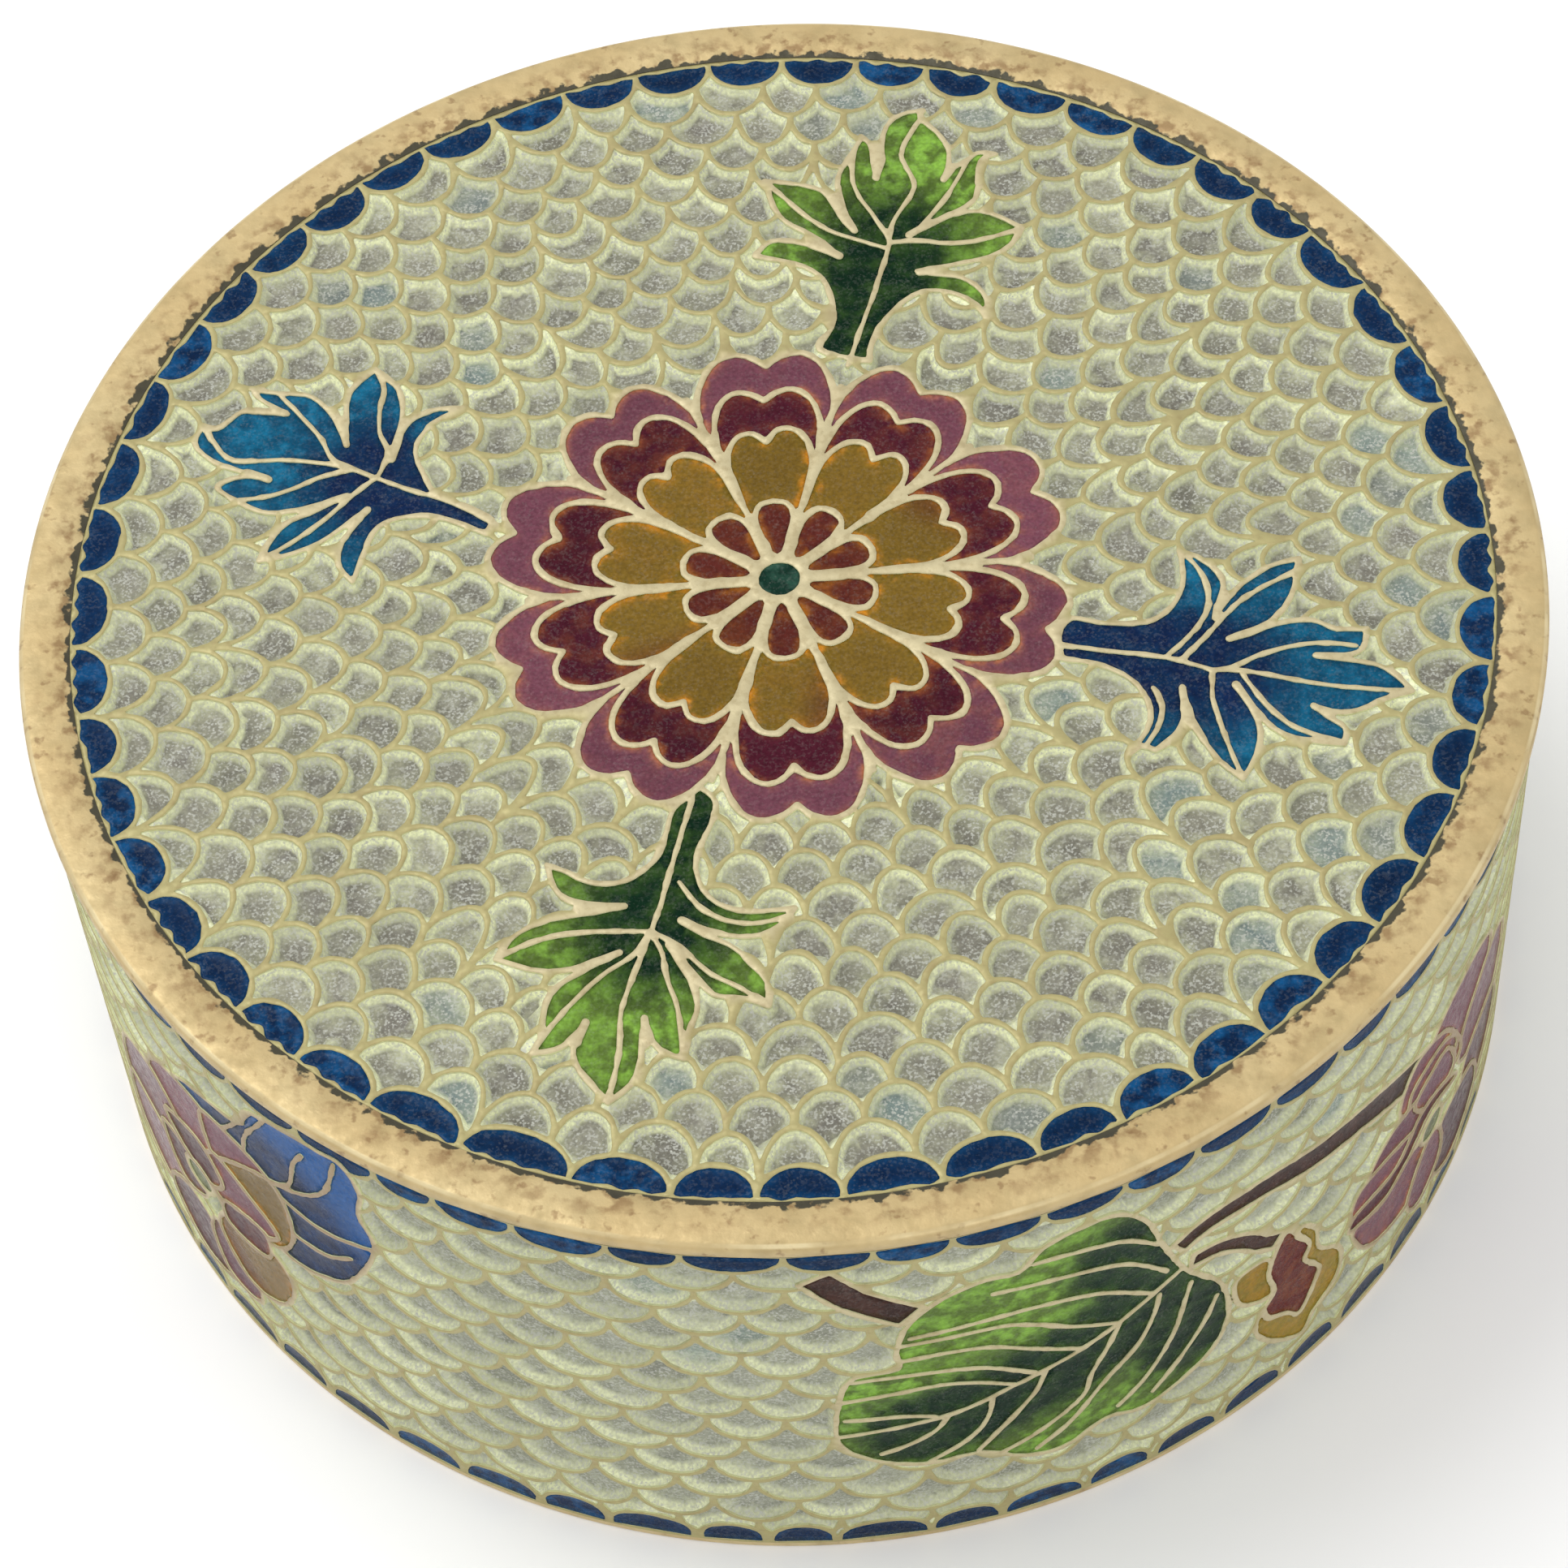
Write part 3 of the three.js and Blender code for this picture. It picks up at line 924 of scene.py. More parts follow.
# The leaves of the lid. An outline comes in runs that end at tips and notches,
# and each run starts at the end of the one before.
BACK_LEAF = {
    "colour": "green_leaf",
    "spine": [(4.6, 14.6), (7.1, 21.6)],
    "outline": [
        [(3, 14.8), (3.7, 16.2), (3.85, 17.3), (3.8, 18.3), (3.5, 19.5), (2.7, 20.4), (1.5, 21), (0, 21.5)],
        [(0.9, 22.4), (2.2, 22.3), (3.2, 21.8), (4.45, 21.05)],
        [(3.8, 21.9), (2.9, 22.8), (1.8, 23.7), (1.2, 24.9), (0.85, 26.7)],
        [(1.6, 26.5), (2.8, 26.2), (3.9, 25.6), (4.4, 24.6), (4.7, 23.7), (5.35, 22.65)],
        [(5, 23.8), (4.8, 25.2), (4.7, 26.4), (5.3, 27.7)],
        [(5.7, 28.3), (6.2, 29.3)],
        [(6.6, 28.6), (6.65, 27.3), (6.75, 26.2)],
        [(7.15, 27.3), (7.3, 29.1), (7.8, 30.2), (8.6, 30.7), (9.6, 30.8)],
        [(9.4, 30.3), (10.3, 29), (10.7, 27.9), (10.6, 26.8), (10.3, 25.7)],
        [(10.8, 26.5), (11.6, 27), (12.3, 27.5), (13.2, 27.3)],
        [(12.4, 27), (12.1, 26), (12, 24.8), (11.6, 24), (10.4, 23.3), (8.1, 22.1)],
        [(9.2, 22.8), (10.6, 23.3), (11.9, 23.4), (13, 22.9), (14.1, 22)],
        [(13.4, 20.9), (12.2, 20.2), (10.6, 19.9), (8.4, 19.6)],
        [(9.6, 19.3), (10.7, 18.9), (11.5, 18.1), (11.85, 17.1), (11.75, 15.9)],
        [(11.3, 17), (10.4, 17.8), (9.3, 18.2), (8.3, 18.1), (7.2, 17.3), (6.3, 16.2), (5.7, 15),
         (5.5, 13.8)],
    ],
    "veins": [
        [(4.35, 13.6), (5, 15.4), (6, 18.2), (7, 21.2), (7.1, 22.1)],
        [(7, 21.3), (5.4, 22.1), (4, 22.9), (2.7, 24.2), (0.95, 26.6)],
        [(7.1, 22), (6.4, 23.7), (5.7, 25.2), (5.5, 26.5), (5.7, 28.2), (6.15, 29.2)],
        [(7.1, 22), (7.5, 23.3), (8.5, 24.9), (8.7, 25.8), (8.2, 27.6), (8.6, 28.9), (9.5, 30.3)],
        [(8.9, 22.7), (10.2, 24.4), (11.1, 25.9), (11.6, 26.9)],
        [(7.1, 21.7), (8.6, 21.7), (10.2, 21.35), (11.8, 21.4), (14, 21.95)],
    ],
    "slits": [[(4.45, 21.05), (3.4, 22.1)], [(5.35, 22.7), (4.9, 23.7), (4.55, 24.8)],
              [(6.75, 26.3), (7, 28.2)],
              [(10.3, 25.8), (10.9, 26.7)], [(8.15, 22.15), (10.4, 23.3)], [(8.5, 19.5), (9.7, 19.6)]],
}
LEFT_LEAF = {
    "colour": "blue_leaf",
    "spine": [(-15, 5.6), (-20.1, 8.6)],
    "outline": [
        [(-14.2, 5.4), (-15.5, 6.4), (-16.9, 7.2), (-17.6, 8.6), (-18, 10.2), (-17.5, 11.4), (-16.5, 12.3),
         (-15.2, 12.7)],
        [(-16.6, 12.85), (-17.8, 12.5), (-18.6, 11.6), (-19.2, 9.8)],
        [(-18.9, 11.2), (-18.6, 12.8), (-18.8, 14.4), (-19.9, 15.8)],
        [(-20.9, 15), (-21.4, 14), (-21.5, 12.4), (-21.5, 10.9)],
        [(-21.9, 12.2), (-22.4, 13.3), (-23.4, 14.4), (-24.9, 14.7)],
        [(-25.6, 14.9), (-26.3, 15.2)],
        [(-25.9, 14.4), (-24.5, 13.3)],
        [(-25.8, 13.6), (-26.8, 13.7), (-27.6, 13.1), (-28.2, 12.7), (-28.9, 13)],
        [(-29.3, 11.9), (-28.7, 10.9), (-27.6, 10.1), (-25.5, 9.1)],
        [(-26.5, 9.4), (-27.5, 9.3), (-28.1, 8.8), (-27.2, 7.9)],
        [(-26, 7.1), (-24.8, 6.9), (-23.4, 7.1), (-21.5, 7.7)],
        [(-23, 6.9), (-24.6, 6.2), (-25.4, 5.2), (-26, 3.9)],
        [(-24.4, 4.2), (-22.9, 4.8), (-21.7, 5.7), (-20.5, 6.7)],
        [(-21.3, 5.5), (-21.9, 4.5), (-22, 3.3), (-21.3, 2.1)],
        [(-20.8, 3.6), (-20.3, 5), (-19.5, 5.8), (-18, 6), (-16.6, 5.7), (-14.5, 4.5)],
    ],
    "veins": [
        [(-13.9, 5), (-15.5, 6.2), (-17, 7.1), (-18.5, 7.8), (-20.1, 8.7)],
        [(-19.9, 8.8), (-19.4, 10.2), (-19.8, 11.6), (-19.75, 13.2), (-19.5, 14.4), (-19.9, 15.7)],
        [(-20.1, 8.7), (-21.4, 9.5), (-22.3, 10.2), (-22.8, 11.5), (-23.7, 12.9), (-24.9, 14.6)],
        [(-21.4, 9.5), (-23, 9.95), (-24.8, 10.3), (-26.6, 10.4), (-27.6, 10.7), (-28.3, 11.8),
         (-28.8, 12.9)],
        [(-21.3, 9.3), (-22.8, 9), (-24.2, 8.4), (-25.6, 8), (-27.2, 7.9)],
        [(-20.1, 8.6), (-21.3, 7.6), (-22.6, 6.3), (-24.1, 5.1), (-25.8, 4)],
    ],
    "slits": [[(-19.2, 9.8), (-18.7, 11.6)], [(-21.5, 10.95), (-21.7, 12), (-22.1, 13.2)],
              [(-24.6, 13.35), (-26.2, 13.7)], [(-25.5, 9.1), (-26.6, 9.7)], [(-21.5, 7.6), (-23.4, 7)],
              [(-20.5, 6.65), (-21.5, 5.7)]],
}
FRONT_LEAF = {
    "colour": "green_leaf",
    "spine": [(-5.2, -13.4), (-7.4, -20)],
    "outline": [
        [(-3.9, -12.9), (-4.1, -14), (-4.7, -15.3), (-5.05, -16.5), (-4.8, -17.9), (-4, -18.9),
         (-2.6, -19.4),
         (-0.5, -19.4)],
        [(-1.2, -20.3), (-2.4, -20.8), (-3.9, -20.6), (-5.9, -19.6)],
        [(-4.9, -20.5), (-3.7, -21.2), (-2.7, -22.3), (-2, -23.6), (-2, -24.8)],
        [(-3.3, -24.2), (-4.6, -23.9), (-5.4, -22.7), (-6.6, -20.9)],
        [(-6, -22.3), (-5.5, -23.4), (-5.4, -24.6), (-5.8, -25.8), (-6.15, -27.3)],
        [(-7, -26.9), (-7.6, -26.2), (-7.9, -24.9)],
        [(-8.1, -26.4), (-8.2, -27.4), (-8.7, -28.5), (-9.8, -29.4)],
        [(-10.4, -28.5), (-11.1, -27.4), (-11.3, -26.2), (-10.6, -24.9)],
        [(-11.5, -25.9), (-12.3, -26.3), (-13.3, -26.4)],
        [(-12.8, -25.6), (-12.65, -24.3), (-12.2, -23.1), (-11, -22.2), (-8.9, -21.2)],
        [(-10.1, -21.5), (-11.4, -21.9), (-12.9, -21.8), (-14.8, -21)],
        [(-13.9, -19.8), (-12.6, -19.1), (-11, -18.85), (-8.5, -18.6)],
        [(-9.9, -18.3), (-11, -18.1), (-11.8, -17.3), (-12.2, -15.8)],
        [(-11.3, -16.3), (-10.2, -17), (-9, -17.2), (-7.9, -16.8), (-6.9, -15.9), (-6.4, -14.6),
         (-5.9, -13.1),
         (-4.6, -12)],
    ],
    "veins": [
        [(-5, -12.6), (-5.6, -14.5), (-6.2, -16.5), (-6.8, -18.5), (-7.35, -20.1)],
        [(-5.9, -17.4), (-5, -18.9), (-3.8, -19.8), (-2.4, -20.1), (-1, -19.9)],
        [(-7.3, -20.1), (-6, -21.2), (-4.7, -22.7), (-3.4, -23.6), (-2.05, -24.7)],
        [(-7.4, -20.1), (-6.9, -21.4), (-6.7, -23), (-6.3, -24.6), (-6.2, -27.2)],
        [(-7.4, -20.1), (-7.9, -21.5), (-8.5, -23), (-9, -24.6), (-9.1, -26.2), (-9.3, -27.4),
         (-9.8, -29.3)],
        [(-7.5, -20.2), (-8.2, -21.3), (-9.7, -22.3), (-11.1, -23.6), (-12.2, -24.9), (-13.2, -26.3)],
        [(-7.5, -20.1), (-9.5, -19.9), (-11.5, -19.9), (-13.1, -20.2), (-14.7, -20.95)],
    ],
    "slits": [[(-5.9, -19.6), (-4.7, -20.4)], [(-6.5, -20.9), (-5.8, -22.3)], [(-7.9, -24.9), (-7.9, -26.4)],
              [(-10.65, -24.9), (-11.1, -26)], [(-8.9, -21.15), (-10.6, -21.8)], [(-8.55, -18.55),
               (-10.8, -18.5)]],
}
RIGHT_LEAF = {
    "colour": "blue_leaf",
    "spine": [(14.2, -5), (20.8, -7.3)],
    "outline": [
        [(13.5, -4.6), (14.2, -3.6), (15.6, -4), (17.2, -4.2), (18.4, -4), (19.4, -3.1), (19.95, -1.8),
         (20, 0.1)],
        [(20.9, -0.5), (21.6, -1.3), (21.9, -2.3), (21.2, -4.3)],
        [(22.1, -3), (23.2, -2), (24.4, -1.3), (25.8, -1)],
        [(25.4, -2.6), (24.8, -3.8), (23.8, -4.8), (21.8, -5.6)],
        [(23.2, -5.2), (24.8, -4.8), (26.1, -4.9), (27.1, -5.5), (28.6, -5.6)],
        [(28.3, -6.7), (27.6, -7.1), (25.9, -7)],
        [(27.3, -7.4), (28.7, -7.8), (29.6, -8.5), (30.3, -9.6)],
        [(28.9, -9.9), (27.8, -10.4), (26.6, -10.5), (25.4, -10)],
        [(26.1, -10.8), (26.8, -11.5), (26.6, -12.4)],
        [(25.2, -12.1), (24, -11.7), (23, -10.7), (21.8, -8.4)],
        [(22.4, -9.8), (22.65, -11.3), (22.3, -12.7), (21.5, -14)],
        [(20.5, -12.8), (19.9, -11.6), (19.5, -10.4), (19.2, -8.3)],
        [(19.1, -10), (18.6, -11.1), (17.5, -11.9)],
        [(16.9, -11.6), (16.3, -11.9)],
        [(17.2, -10.7), (17.5, -9.6), (17.3, -8.5), (16.6, -7.4), (15.2, -6.5), (13.5, -6)],
    ],
    "veins": [
        [(13.6, -5.2), (16, -5.8), (18.5, -6.4), (20.8, -7.4)],
        [(20.05, 0), (20.8, -1.2), (21.1, -2.6), (20.8, -4), (19.8, -5.3), (18.7, -6.3)],
        [(19.4, -6.6), (20.8, -5.2), (22.3, -3.6), (23.8, -2.6), (25.5, -1.8)],
        [(20.8, -7.4), (21.8, -7.3), (23.2, -6.7), (25, -6.3), (26.5, -6.3), (27.9, -6.6)],
        [(20.8, -7.4), (22.3, -7.6), (24.5, -8.3), (26.5, -8.9), (28.5, -9.3), (30.2, -9.6)],
        [(22.2, -7.8), (23.2, -9.8), (24.4, -11.2), (26.5, -12.3)],
        [(20.8, -7.4), (20.6, -9), (20.8, -10.6), (21.1, -12.2), (21.5, -13.9)],
        [(17.8, -8.2), (18.1, -9.3), (17.8, -10.5), (17, -11.7)],
    ],
    "slits": [[(21.8, -5.6), (23.4, -5.1)], [(25.9, -7), (27.4, -7.3)], [(25.4, -10), (26.2, -10.7)],
              [(21.85, -8.4), (22.6, -10.2)], [(19.2, -8.3), (19.2, -9.9)], [(21.3, -4.2), (21.7, -3.2)]],
}
LEAVES = [BACK_LEAF, LEFT_LEAF, FRONT_LEAF, RIGHT_LEAF]


def draw_leaf(sheet, leaf):
    """A leaf with its veins, and the thick wires that start at its notches."""
    runs = []
    end = leaf["outline"][-1][-1]
    for run in leaf["outline"]:
        runs.append(curve([end, *run], 5))
        end = run[-1]
    outline = np.vstack(runs)
    sheet.clear(outline)
    sheet.paint(outline, leaf["colour"])
    for run in runs:
        sheet.wire(run, LEAF_WIRE, motif=True)
    draw_veins(sheet, leaf["veins"])
    for slit in leaf["slits"]:
        sheet.wire(curve(slit, 4), SLIT_WIRE, motif=True)


def draw_veins(sheet, veins, shift=0.0):
    for vein in veins:
        sheet.wire(curve(vein, 5) + [shift, 0], VEIN_WIRE, motif=True)


def on_lid(arcs):
    return [polar(arc[:, 1], 2 * math.pi * arc[:, 0]) for arc in arcs]


def draw_scales_inwards(sheet, arcs, count, belly, stop, pitch, width):
    """Rows of scales from the rim's scallops to the middle, fewer in a row as the rows get shorter."""
    ends = (np.arange(count) + rng.normal(0, LID_END_WANDER, count)) / count
    while belly - pitch > stop:
        belly -= pitch
        arcs = arc_row(ends, level_line(arcs), belly, LID_BELLY_WANDER)
        count = min(count, round(2 * math.pi * belly / width))
        ends = next_ends(arcs, count, LID_SHIFT_WANDER)
        for line in on_lid(arcs):
            sheet.wire(line, GROUND_WIRE)


def lid_sheet():
    edge = OUTER_RADIUS + 1
    sheet = Sheet((-edge, -edge), (edge, edge))
    angles = np.sort(np.radians(SCALLOP_ANGLES)) / (2 * math.pi)
    before = np.append(angles[-1] - 1, angles[:-1])
    ends = (angles + before) / 2
    rim = LID_PANEL_RADIUS - 0.1
    arcs = arc_row(ends, lambda turn: rim, SCALLOP_BELLY, LID_SCALLOP_WANDER, LID_SCALLOP_FULLNESS)
    lines = on_lid(arcs)
    for line in lines:
        sheet.wire(line, GROUND_WIRE)
    stop = FLOWER_CENTRE[1] + GROUND_STOP_RADIUS
    draw_scales_inwards(sheet, arcs, LID_FIRST_SCALES, SCALLOP_BELLY, stop, LID_SCALE_PITCH, LID_SCALE_WIDTH)
    for line in lines:
        middle = line.mean(0)
        outward = middle / np.linalg.norm(middle)
        sheet.paint(np.vstack([line, line[-1] + 2 * outward, line[0] + 2 * outward]), "scallop")
    for leaf in LEAVES:
        draw_leaf(sheet, leaf)
    draw_flower(sheet)
    edge_line = ripple(SEED + 2, 20, 200, 0.09)
    sheet.finish(round_border(sheet, lambda angle: LID_PANEL_RADIUS - 0.2 + edge_line(angle)))
    return sheet


def round_border(sheet, radius):
    """Distance from a round border, for each point of the grid."""
    x = sheet.low[0] + np.arange(sheet.nx) * sheet.step[0]
    y = sheet.low[1] + np.arange(sheet.ny) * sheet.step[1]
    gx, gy = np.meshgrid(x, y)
    return radius(np.arctan2(gy, gx)) - np.hypot(gx, gy)


FLOOR_SCALES = 52
FLOOR_BELLY = FLOOR_RADIUS - 2.4
FLOOR_BORDER = FLOOR_RADIUS - 0.5
FLOOR_WANDER = 0.06
FLOOR_STOP_RADIUS = 1.5
FLOOR_SCALE_PITCH = 2.1
FLOOR_SCALE_WIDTH = 3.7


def floor_sheet():
    edge = FLOOR_RADIUS + 1
    sheet = Sheet((-edge, -edge), (edge, edge))
    ends = np.arange(FLOOR_SCALES) / FLOOR_SCALES
    arcs = arc_row(ends, lambda turn: FLOOR_BORDER, FLOOR_BELLY, FLOOR_WANDER)
    for line in on_lid(arcs):
        sheet.wire(line, GROUND_WIRE)
    draw_scales_inwards(sheet, arcs, FLOOR_SCALES, FLOOR_BELLY, FLOOR_STOP_RADIUS, FLOOR_SCALE_PITCH,
                        FLOOR_SCALE_WIDTH)
    sheet.finish(round_border(sheet, lambda angle: FLOOR_BORDER))
    return sheet


# Wall drawing: x along the wall from the front, y up from the table

WALL_SCALES = 58
WALL_ROWS = 13
WALL_SCALE_PITCH = 2.14
FIRST_ROW_RISE = 0.45
TOP_SCALLOP_BELLY = 28.2
TOP_SCALLOP_FULLNESS = 0.75
TOP_SCALLOP_WANDER = 0.08
FOOT_SCALLOP_CREST = 2.25
FOOT_SCALLOP_FULLNESS = 0.7
FOOT_SCALLOP_WIDTHS = (0.88, 0.99)
TOP_END_WANDER = 0.06
FOOT_END_WANDER = 0.07
WALL_BELLY_WANDER = 0.12
WALL_SHIFT_WANDER = 0.035
LEAF_OUTLINE = [
    (7.4, 19), (6.15, 22.5), (5.3, 25.25), (3.8, 27.1), (2, 27.3), (0, 26.6), (-1.2, 25), (-3, 25.1),
    (-5.2, 24), (-6.7, 22), (-7.2, 19.75), (-7.2, 18.1), (-9.2, 17.75), (-10, 16), (-10.35, 12),
    (-9.9, 10.25), (-8.2, 8.75), (-6, 7.9), (-3.2, 7.9), (-1.2, 6.4), (1, 5.9), (3.3, 7.25), (5.3, 6.6),
    (7.5, 7.4), (9.5, 9), (10.3, 11.5), (9.8, 15), (8.5, 17.25),
]
WALL_VEINS = [
    [(7.4, 19), (5.8, 17.9), (3.8, 16.5), (1.9, 15.4), (0, 14.6), (-1.7, 13.9), (-4.7, 12.6),
     (-10.3, 11.75)],
    [(5.9, 22.6), (4, 24.4), (1, 25.2), (-0.5, 25.3)],
    [(6.5, 19.5), (4.3, 22), (1.5, 23.05), (-2.5, 23.6)],
    [(5.8, 17.9), (3, 20.2), (0, 21.1), (-3, 21.2), (-6.5, 20.9)],
    [(3.9, 16.6), (1.5, 18), (-0.5, 19.5), (-2.5, 20.3), (-6.9, 20.3)],
    [(1.9, 15.5), (-0.5, 17.1), (-2.7, 18.5), (-5, 18.9), (-7.1, 18.8)],
    [(-0.5, 14.7), (-2.7, 16.4), (-4.7, 17.1), (-8, 17.3), (-9.4, 17.2)],
    [(-1.5, 14.1), (-3.5, 15.3), (-5.7, 15.8), (-9.9, 15.3)],
    [(-5.5, 12.7), (-7, 13.2), (-9.9, 13.4)],
    [(9.5, 14.2), (8.7, 12), (7.2, 9.5), (5.9, 7.8)],
    [(7.9, 17.1), (7.5, 15), (6.9, 12.5), (5.5, 9.7), (4, 8)],
    [(6.1, 17.5), (5.9, 16), (5, 13.5), (3.2, 11.2), (1.5, 8.5), (-0.4, 6.7)],
    [(4, 16.5), (3.3, 14.5), (2.5, 12.5), (2, 10.5), (-0.3, 8.4), (-2.3, 7.3)],
    [(0.1, 14.6), (-0.4, 12.8), (-1.8, 10.5), (-3.4, 8.2)],
    [(-2.6, 13.3), (-2.9, 11.3), (-3.8, 9.7), (-5.8, 8.1)],
    [(-4.8, 12.6), (-5.5, 11.2), (-7, 10.1), (-8.2, 9.6)],
]
LEAF_SPINES = [[(7.4, 18.6), (3.8, 16), (0, 13.8), (-5.5, 11.6)], [(7.2, 19.5), (8.2, 16), (8.4, 12)],
               [(6.6, 20), (5, 22.5)]]
STUB = ([(-10.8, 27.6), (-9, 25.2), (-6.4, 23.1)], 0.95, 0.95)
BRANCH = ([(7.1, 21.1), (9, 22), (12.3, 21.95), (15.5, 21.15), (19.8, 20.3), (24.2, 18.6)], 0.65, 1.25)
TWIG = ([(7.9, 19.15), (9.5, 18.9), (11, 17.9), (12.3, 16.4), (13.3, 15.6)], 0.6, 0.6)
BUD = [(13.8, 15.75), (14.9, 14), (15.6, 12.5), (15.3, 11.25), (16.3, 9.5), (16.4, 8.5), (15.3, 5.9),
       (14.3, 7), (13, 8), (12.6, 9.25), (13.3, 10.5), (12.8, 12.5), (13, 14)]
HUSKS = [
    [(12.3, 14.6), (10.8, 14.5), (10.6, 13.25), (11.1, 11.5), (12.3, 10.5), (13.2, 10.5), (12.8, 12.5),
     (12.9, 13.8)],
    [(15, 15), (16, 13.5), (16.3, 11.25), (17.8, 9.5), (18.2, 7.75), (17.8, 6), (16.3, 4.75), (15.5, 3.4),
     (13.5, 5), (12.3, 7), (12.2, 8.5), (12.6, 9.25), (13, 8), (14.3, 7), (15.3, 5.9), (16.4, 8.5),
     (16.3, 9.5), (15.3, 11.25), (15.6, 12.5), (14.6, 14.4)],
]
# Petals of the two large flowers: (name, outline), from the back ones to the front ones
RIGHT_FLOWER = [
    ("mauve", [(24.2, 17.2), (26.2, 20.6), (29.8, 21.2), (32.4, 19.2), (31.2, 15.2), (28, 13)]),
    ("mauve", [(29.6, 15.5), (33.2, 18), (35.6, 15.6), (35, 11.4), (31.6, 10.4), (29, 12)]),
    ("maroon", [(30.4, 10.8), (34.6, 11.2), (35.8, 7.4), (32.8, 4.6), (30, 7.2)]),
    ("maroon", [(27.6, 8.4), (31.4, 8.2), (33, 4.4), (29.6, 1.9), (26.8, 4.2)]),
    ("mauve", [(22.4, 16), (23.6, 19.6), (26.8, 18.2), (29.2, 13.2), (26.6, 13)]),
    ("mauve", [(23.4, 16.9), (24, 14.2), (27.4, 13.4), (28.4, 15.4), (26.2, 17.6)]),
    ("mauve", [(19.8, 12.6), (21.4, 15.3), (24.4, 15.3), (26, 13.2), (22.8, 11.6)]),
    ("mauve", [(24, 15.4), (26.9, 16.2), (28.4, 13), (26.6, 12.2), (24.6, 13.6)]),
    ("mauve", [(18.9, 10.6), (19.4, 13), (22.8, 12.9), (24.6, 11.6), (22, 9.8)]),
    ("maroon", [(18.9, 9.4), (19.2, 10.8), (22.6, 10.9), (24.8, 13.2), (27.6, 12.4), (29, 10.8), (26, 11.8),
                (24.4, 10.6), (22.6, 9)]),
    ("mauve", [(19, 9.2), (20.6, 5.6), (24.2, 4.8), (26.2, 6.4), (25.8, 9.2), (24.2, 10.2), (21.6, 8.8)]),
    ("mauve", [(24.2, 4.9), (25.6, 2.9), (27.8, 4.8), (27.4, 8), (25.9, 8.8)]),
]
RIGHT_HEART = (26.2, 10, 1.15)
LEFT_BLUE = [(-49, 17), (-48.4, 21), (-45.4, 24), (-41.2, 25.2), (-40.2, 27.4), (-37.6, 28.4), (-35.4, 28.6),
             (-34, 28.6), (-33.2, 26.6), (-33.6, 24.2), (-33, 22), (-33.6, 19.6), (-34.6, 17.4),
             (-35.8, 15.6), (-38.4, 14.2), (-40.6, 14.4), (-44, 17)]
LEFT_BLUE_VEINS = [
    [(-43.8, 21.4), (-41.6, 24.6), (-39.8, 27.6)],
    [(-41.3, 22), (-40.8, 24.4), (-38.8, 28)],
    [(-39.8, 21.4), (-38.2, 22.6), (-37.4, 25.4), (-36.6, 27)],
    [(-39.8, 21.4), (-37.4, 22.6), (-35.6, 24.6), (-34.5, 28.2)],
    [(-39.2, 20.6), (-36.4, 20.1), (-33.2, 21.2)],
    [(-38.8, 17.3), (-36.6, 17.5), (-34.8, 18.9)],
]
LEFT_FLOWER = [
    ("mauve", [(-50.5, 18.2), (-48.4, 22.2), (-44.4, 22.6), (-43, 18.6), (-46.4, 16)]),
    ("mauve", [(-54.6, 13), (-53.4, 18), (-49.8, 19.6), (-47.4, 16.4), (-50, 13)]),
    ("mauve", [(-54.2, 13.4), (-55.2, 8.4), (-51.4, 5.8), (-48.6, 8.4), (-49.6, 12.4)]),
    ("maroon", [(-51.8, 6.2), (-49.4, 3), (-46, 3.8), (-46.2, 7.6), (-48.8, 9.4)]),
    ("mauve", [(-46.4, 4), (-43.6, 4.4), (-43.6, 8), (-46, 9.8), (-47.2, 7.4)]),
    ("mauve", [(-44.8, 22), (-42.6, 22.8), (-39.8, 21.6), (-39.4, 18.2), (-44, 17)]),
    ("gold", [(-39.8, 21.4), (-38.8, 17.3), (-40.4, 14), (-43.4, 14.4), (-45, 17.4)]),
    ("mauve", [(-44.6, 18.4), (-42, 17.4), (-40.2, 15.2), (-43.2, 13), (-46, 14.4)]),
    ("gold", [(-40.8, 12.6), (-40, 10), (-41.6, 6.8), (-44.4, 6.2), (-46, 9.6), (-44, 12.8)]),
    ("maroon", [(-44.6, 13.6), (-41.4, 14.4), (-41.6, 11.6), (-44.8, 11.2)]),
    ("maroon", [(-49.4, 16.4), (-46, 18), (-44.4, 15.4), (-46.4, 13.6)]),
    ("maroon", [(-50.4, 14), (-47.6, 14.4), (-46.6, 11.4), (-49.4, 9.8)]),
]
LEFT_HEART = (-46.9, 13.1, 1.2)


def band(line, half_start, half_end):
    """Outline of a stem along a line, from one half width to another."""
    line = curve(line, 5)
    along = np.gradient(line, axis=0)
    along /= np.linalg.norm(along, axis=1)[:, None]
    across = np.column_stack([-along[:, 1], along[:, 0]])
    half = np.linspace(half_start, half_end, len(line))[:, None]
    return np.vstack([line + across * half, (line - across * half)[::-1]])


def draw_shape(sheet, outline, name, shift=0.0):
    outline = outline + [shift, 0]
    sheet.clear(outline)
    sheet.paint(outline, name)
    sheet.wire(np.vstack([outline, outline[:1]]), LEAF_WIRE, motif=True)


def draw_over(sheet, outline, name):
    """A shape that hides the motif wires behind it."""
    sheet.clear(outline, motif=True)
    draw_shape(sheet, outline, name)


def draw_spray(sheet, shift):
    """The leaf, its branches and the bud."""
    for line, start, end in (STUB, BRANCH, TWIG):
        draw_shape(sheet, band(line, start, end), "branch", shift)
    for husk in HUSKS:
        draw_shape(sheet, ring(husk, 4), "husk", shift)
    draw_shape(sheet, ring(BUD, 4), "bud", shift)
    draw_over(sheet, ring(LEAF_OUTLINE, 4) + [shift, 0], "wall_leaf")
    draw_veins(sheet, WALL_VEINS, shift)


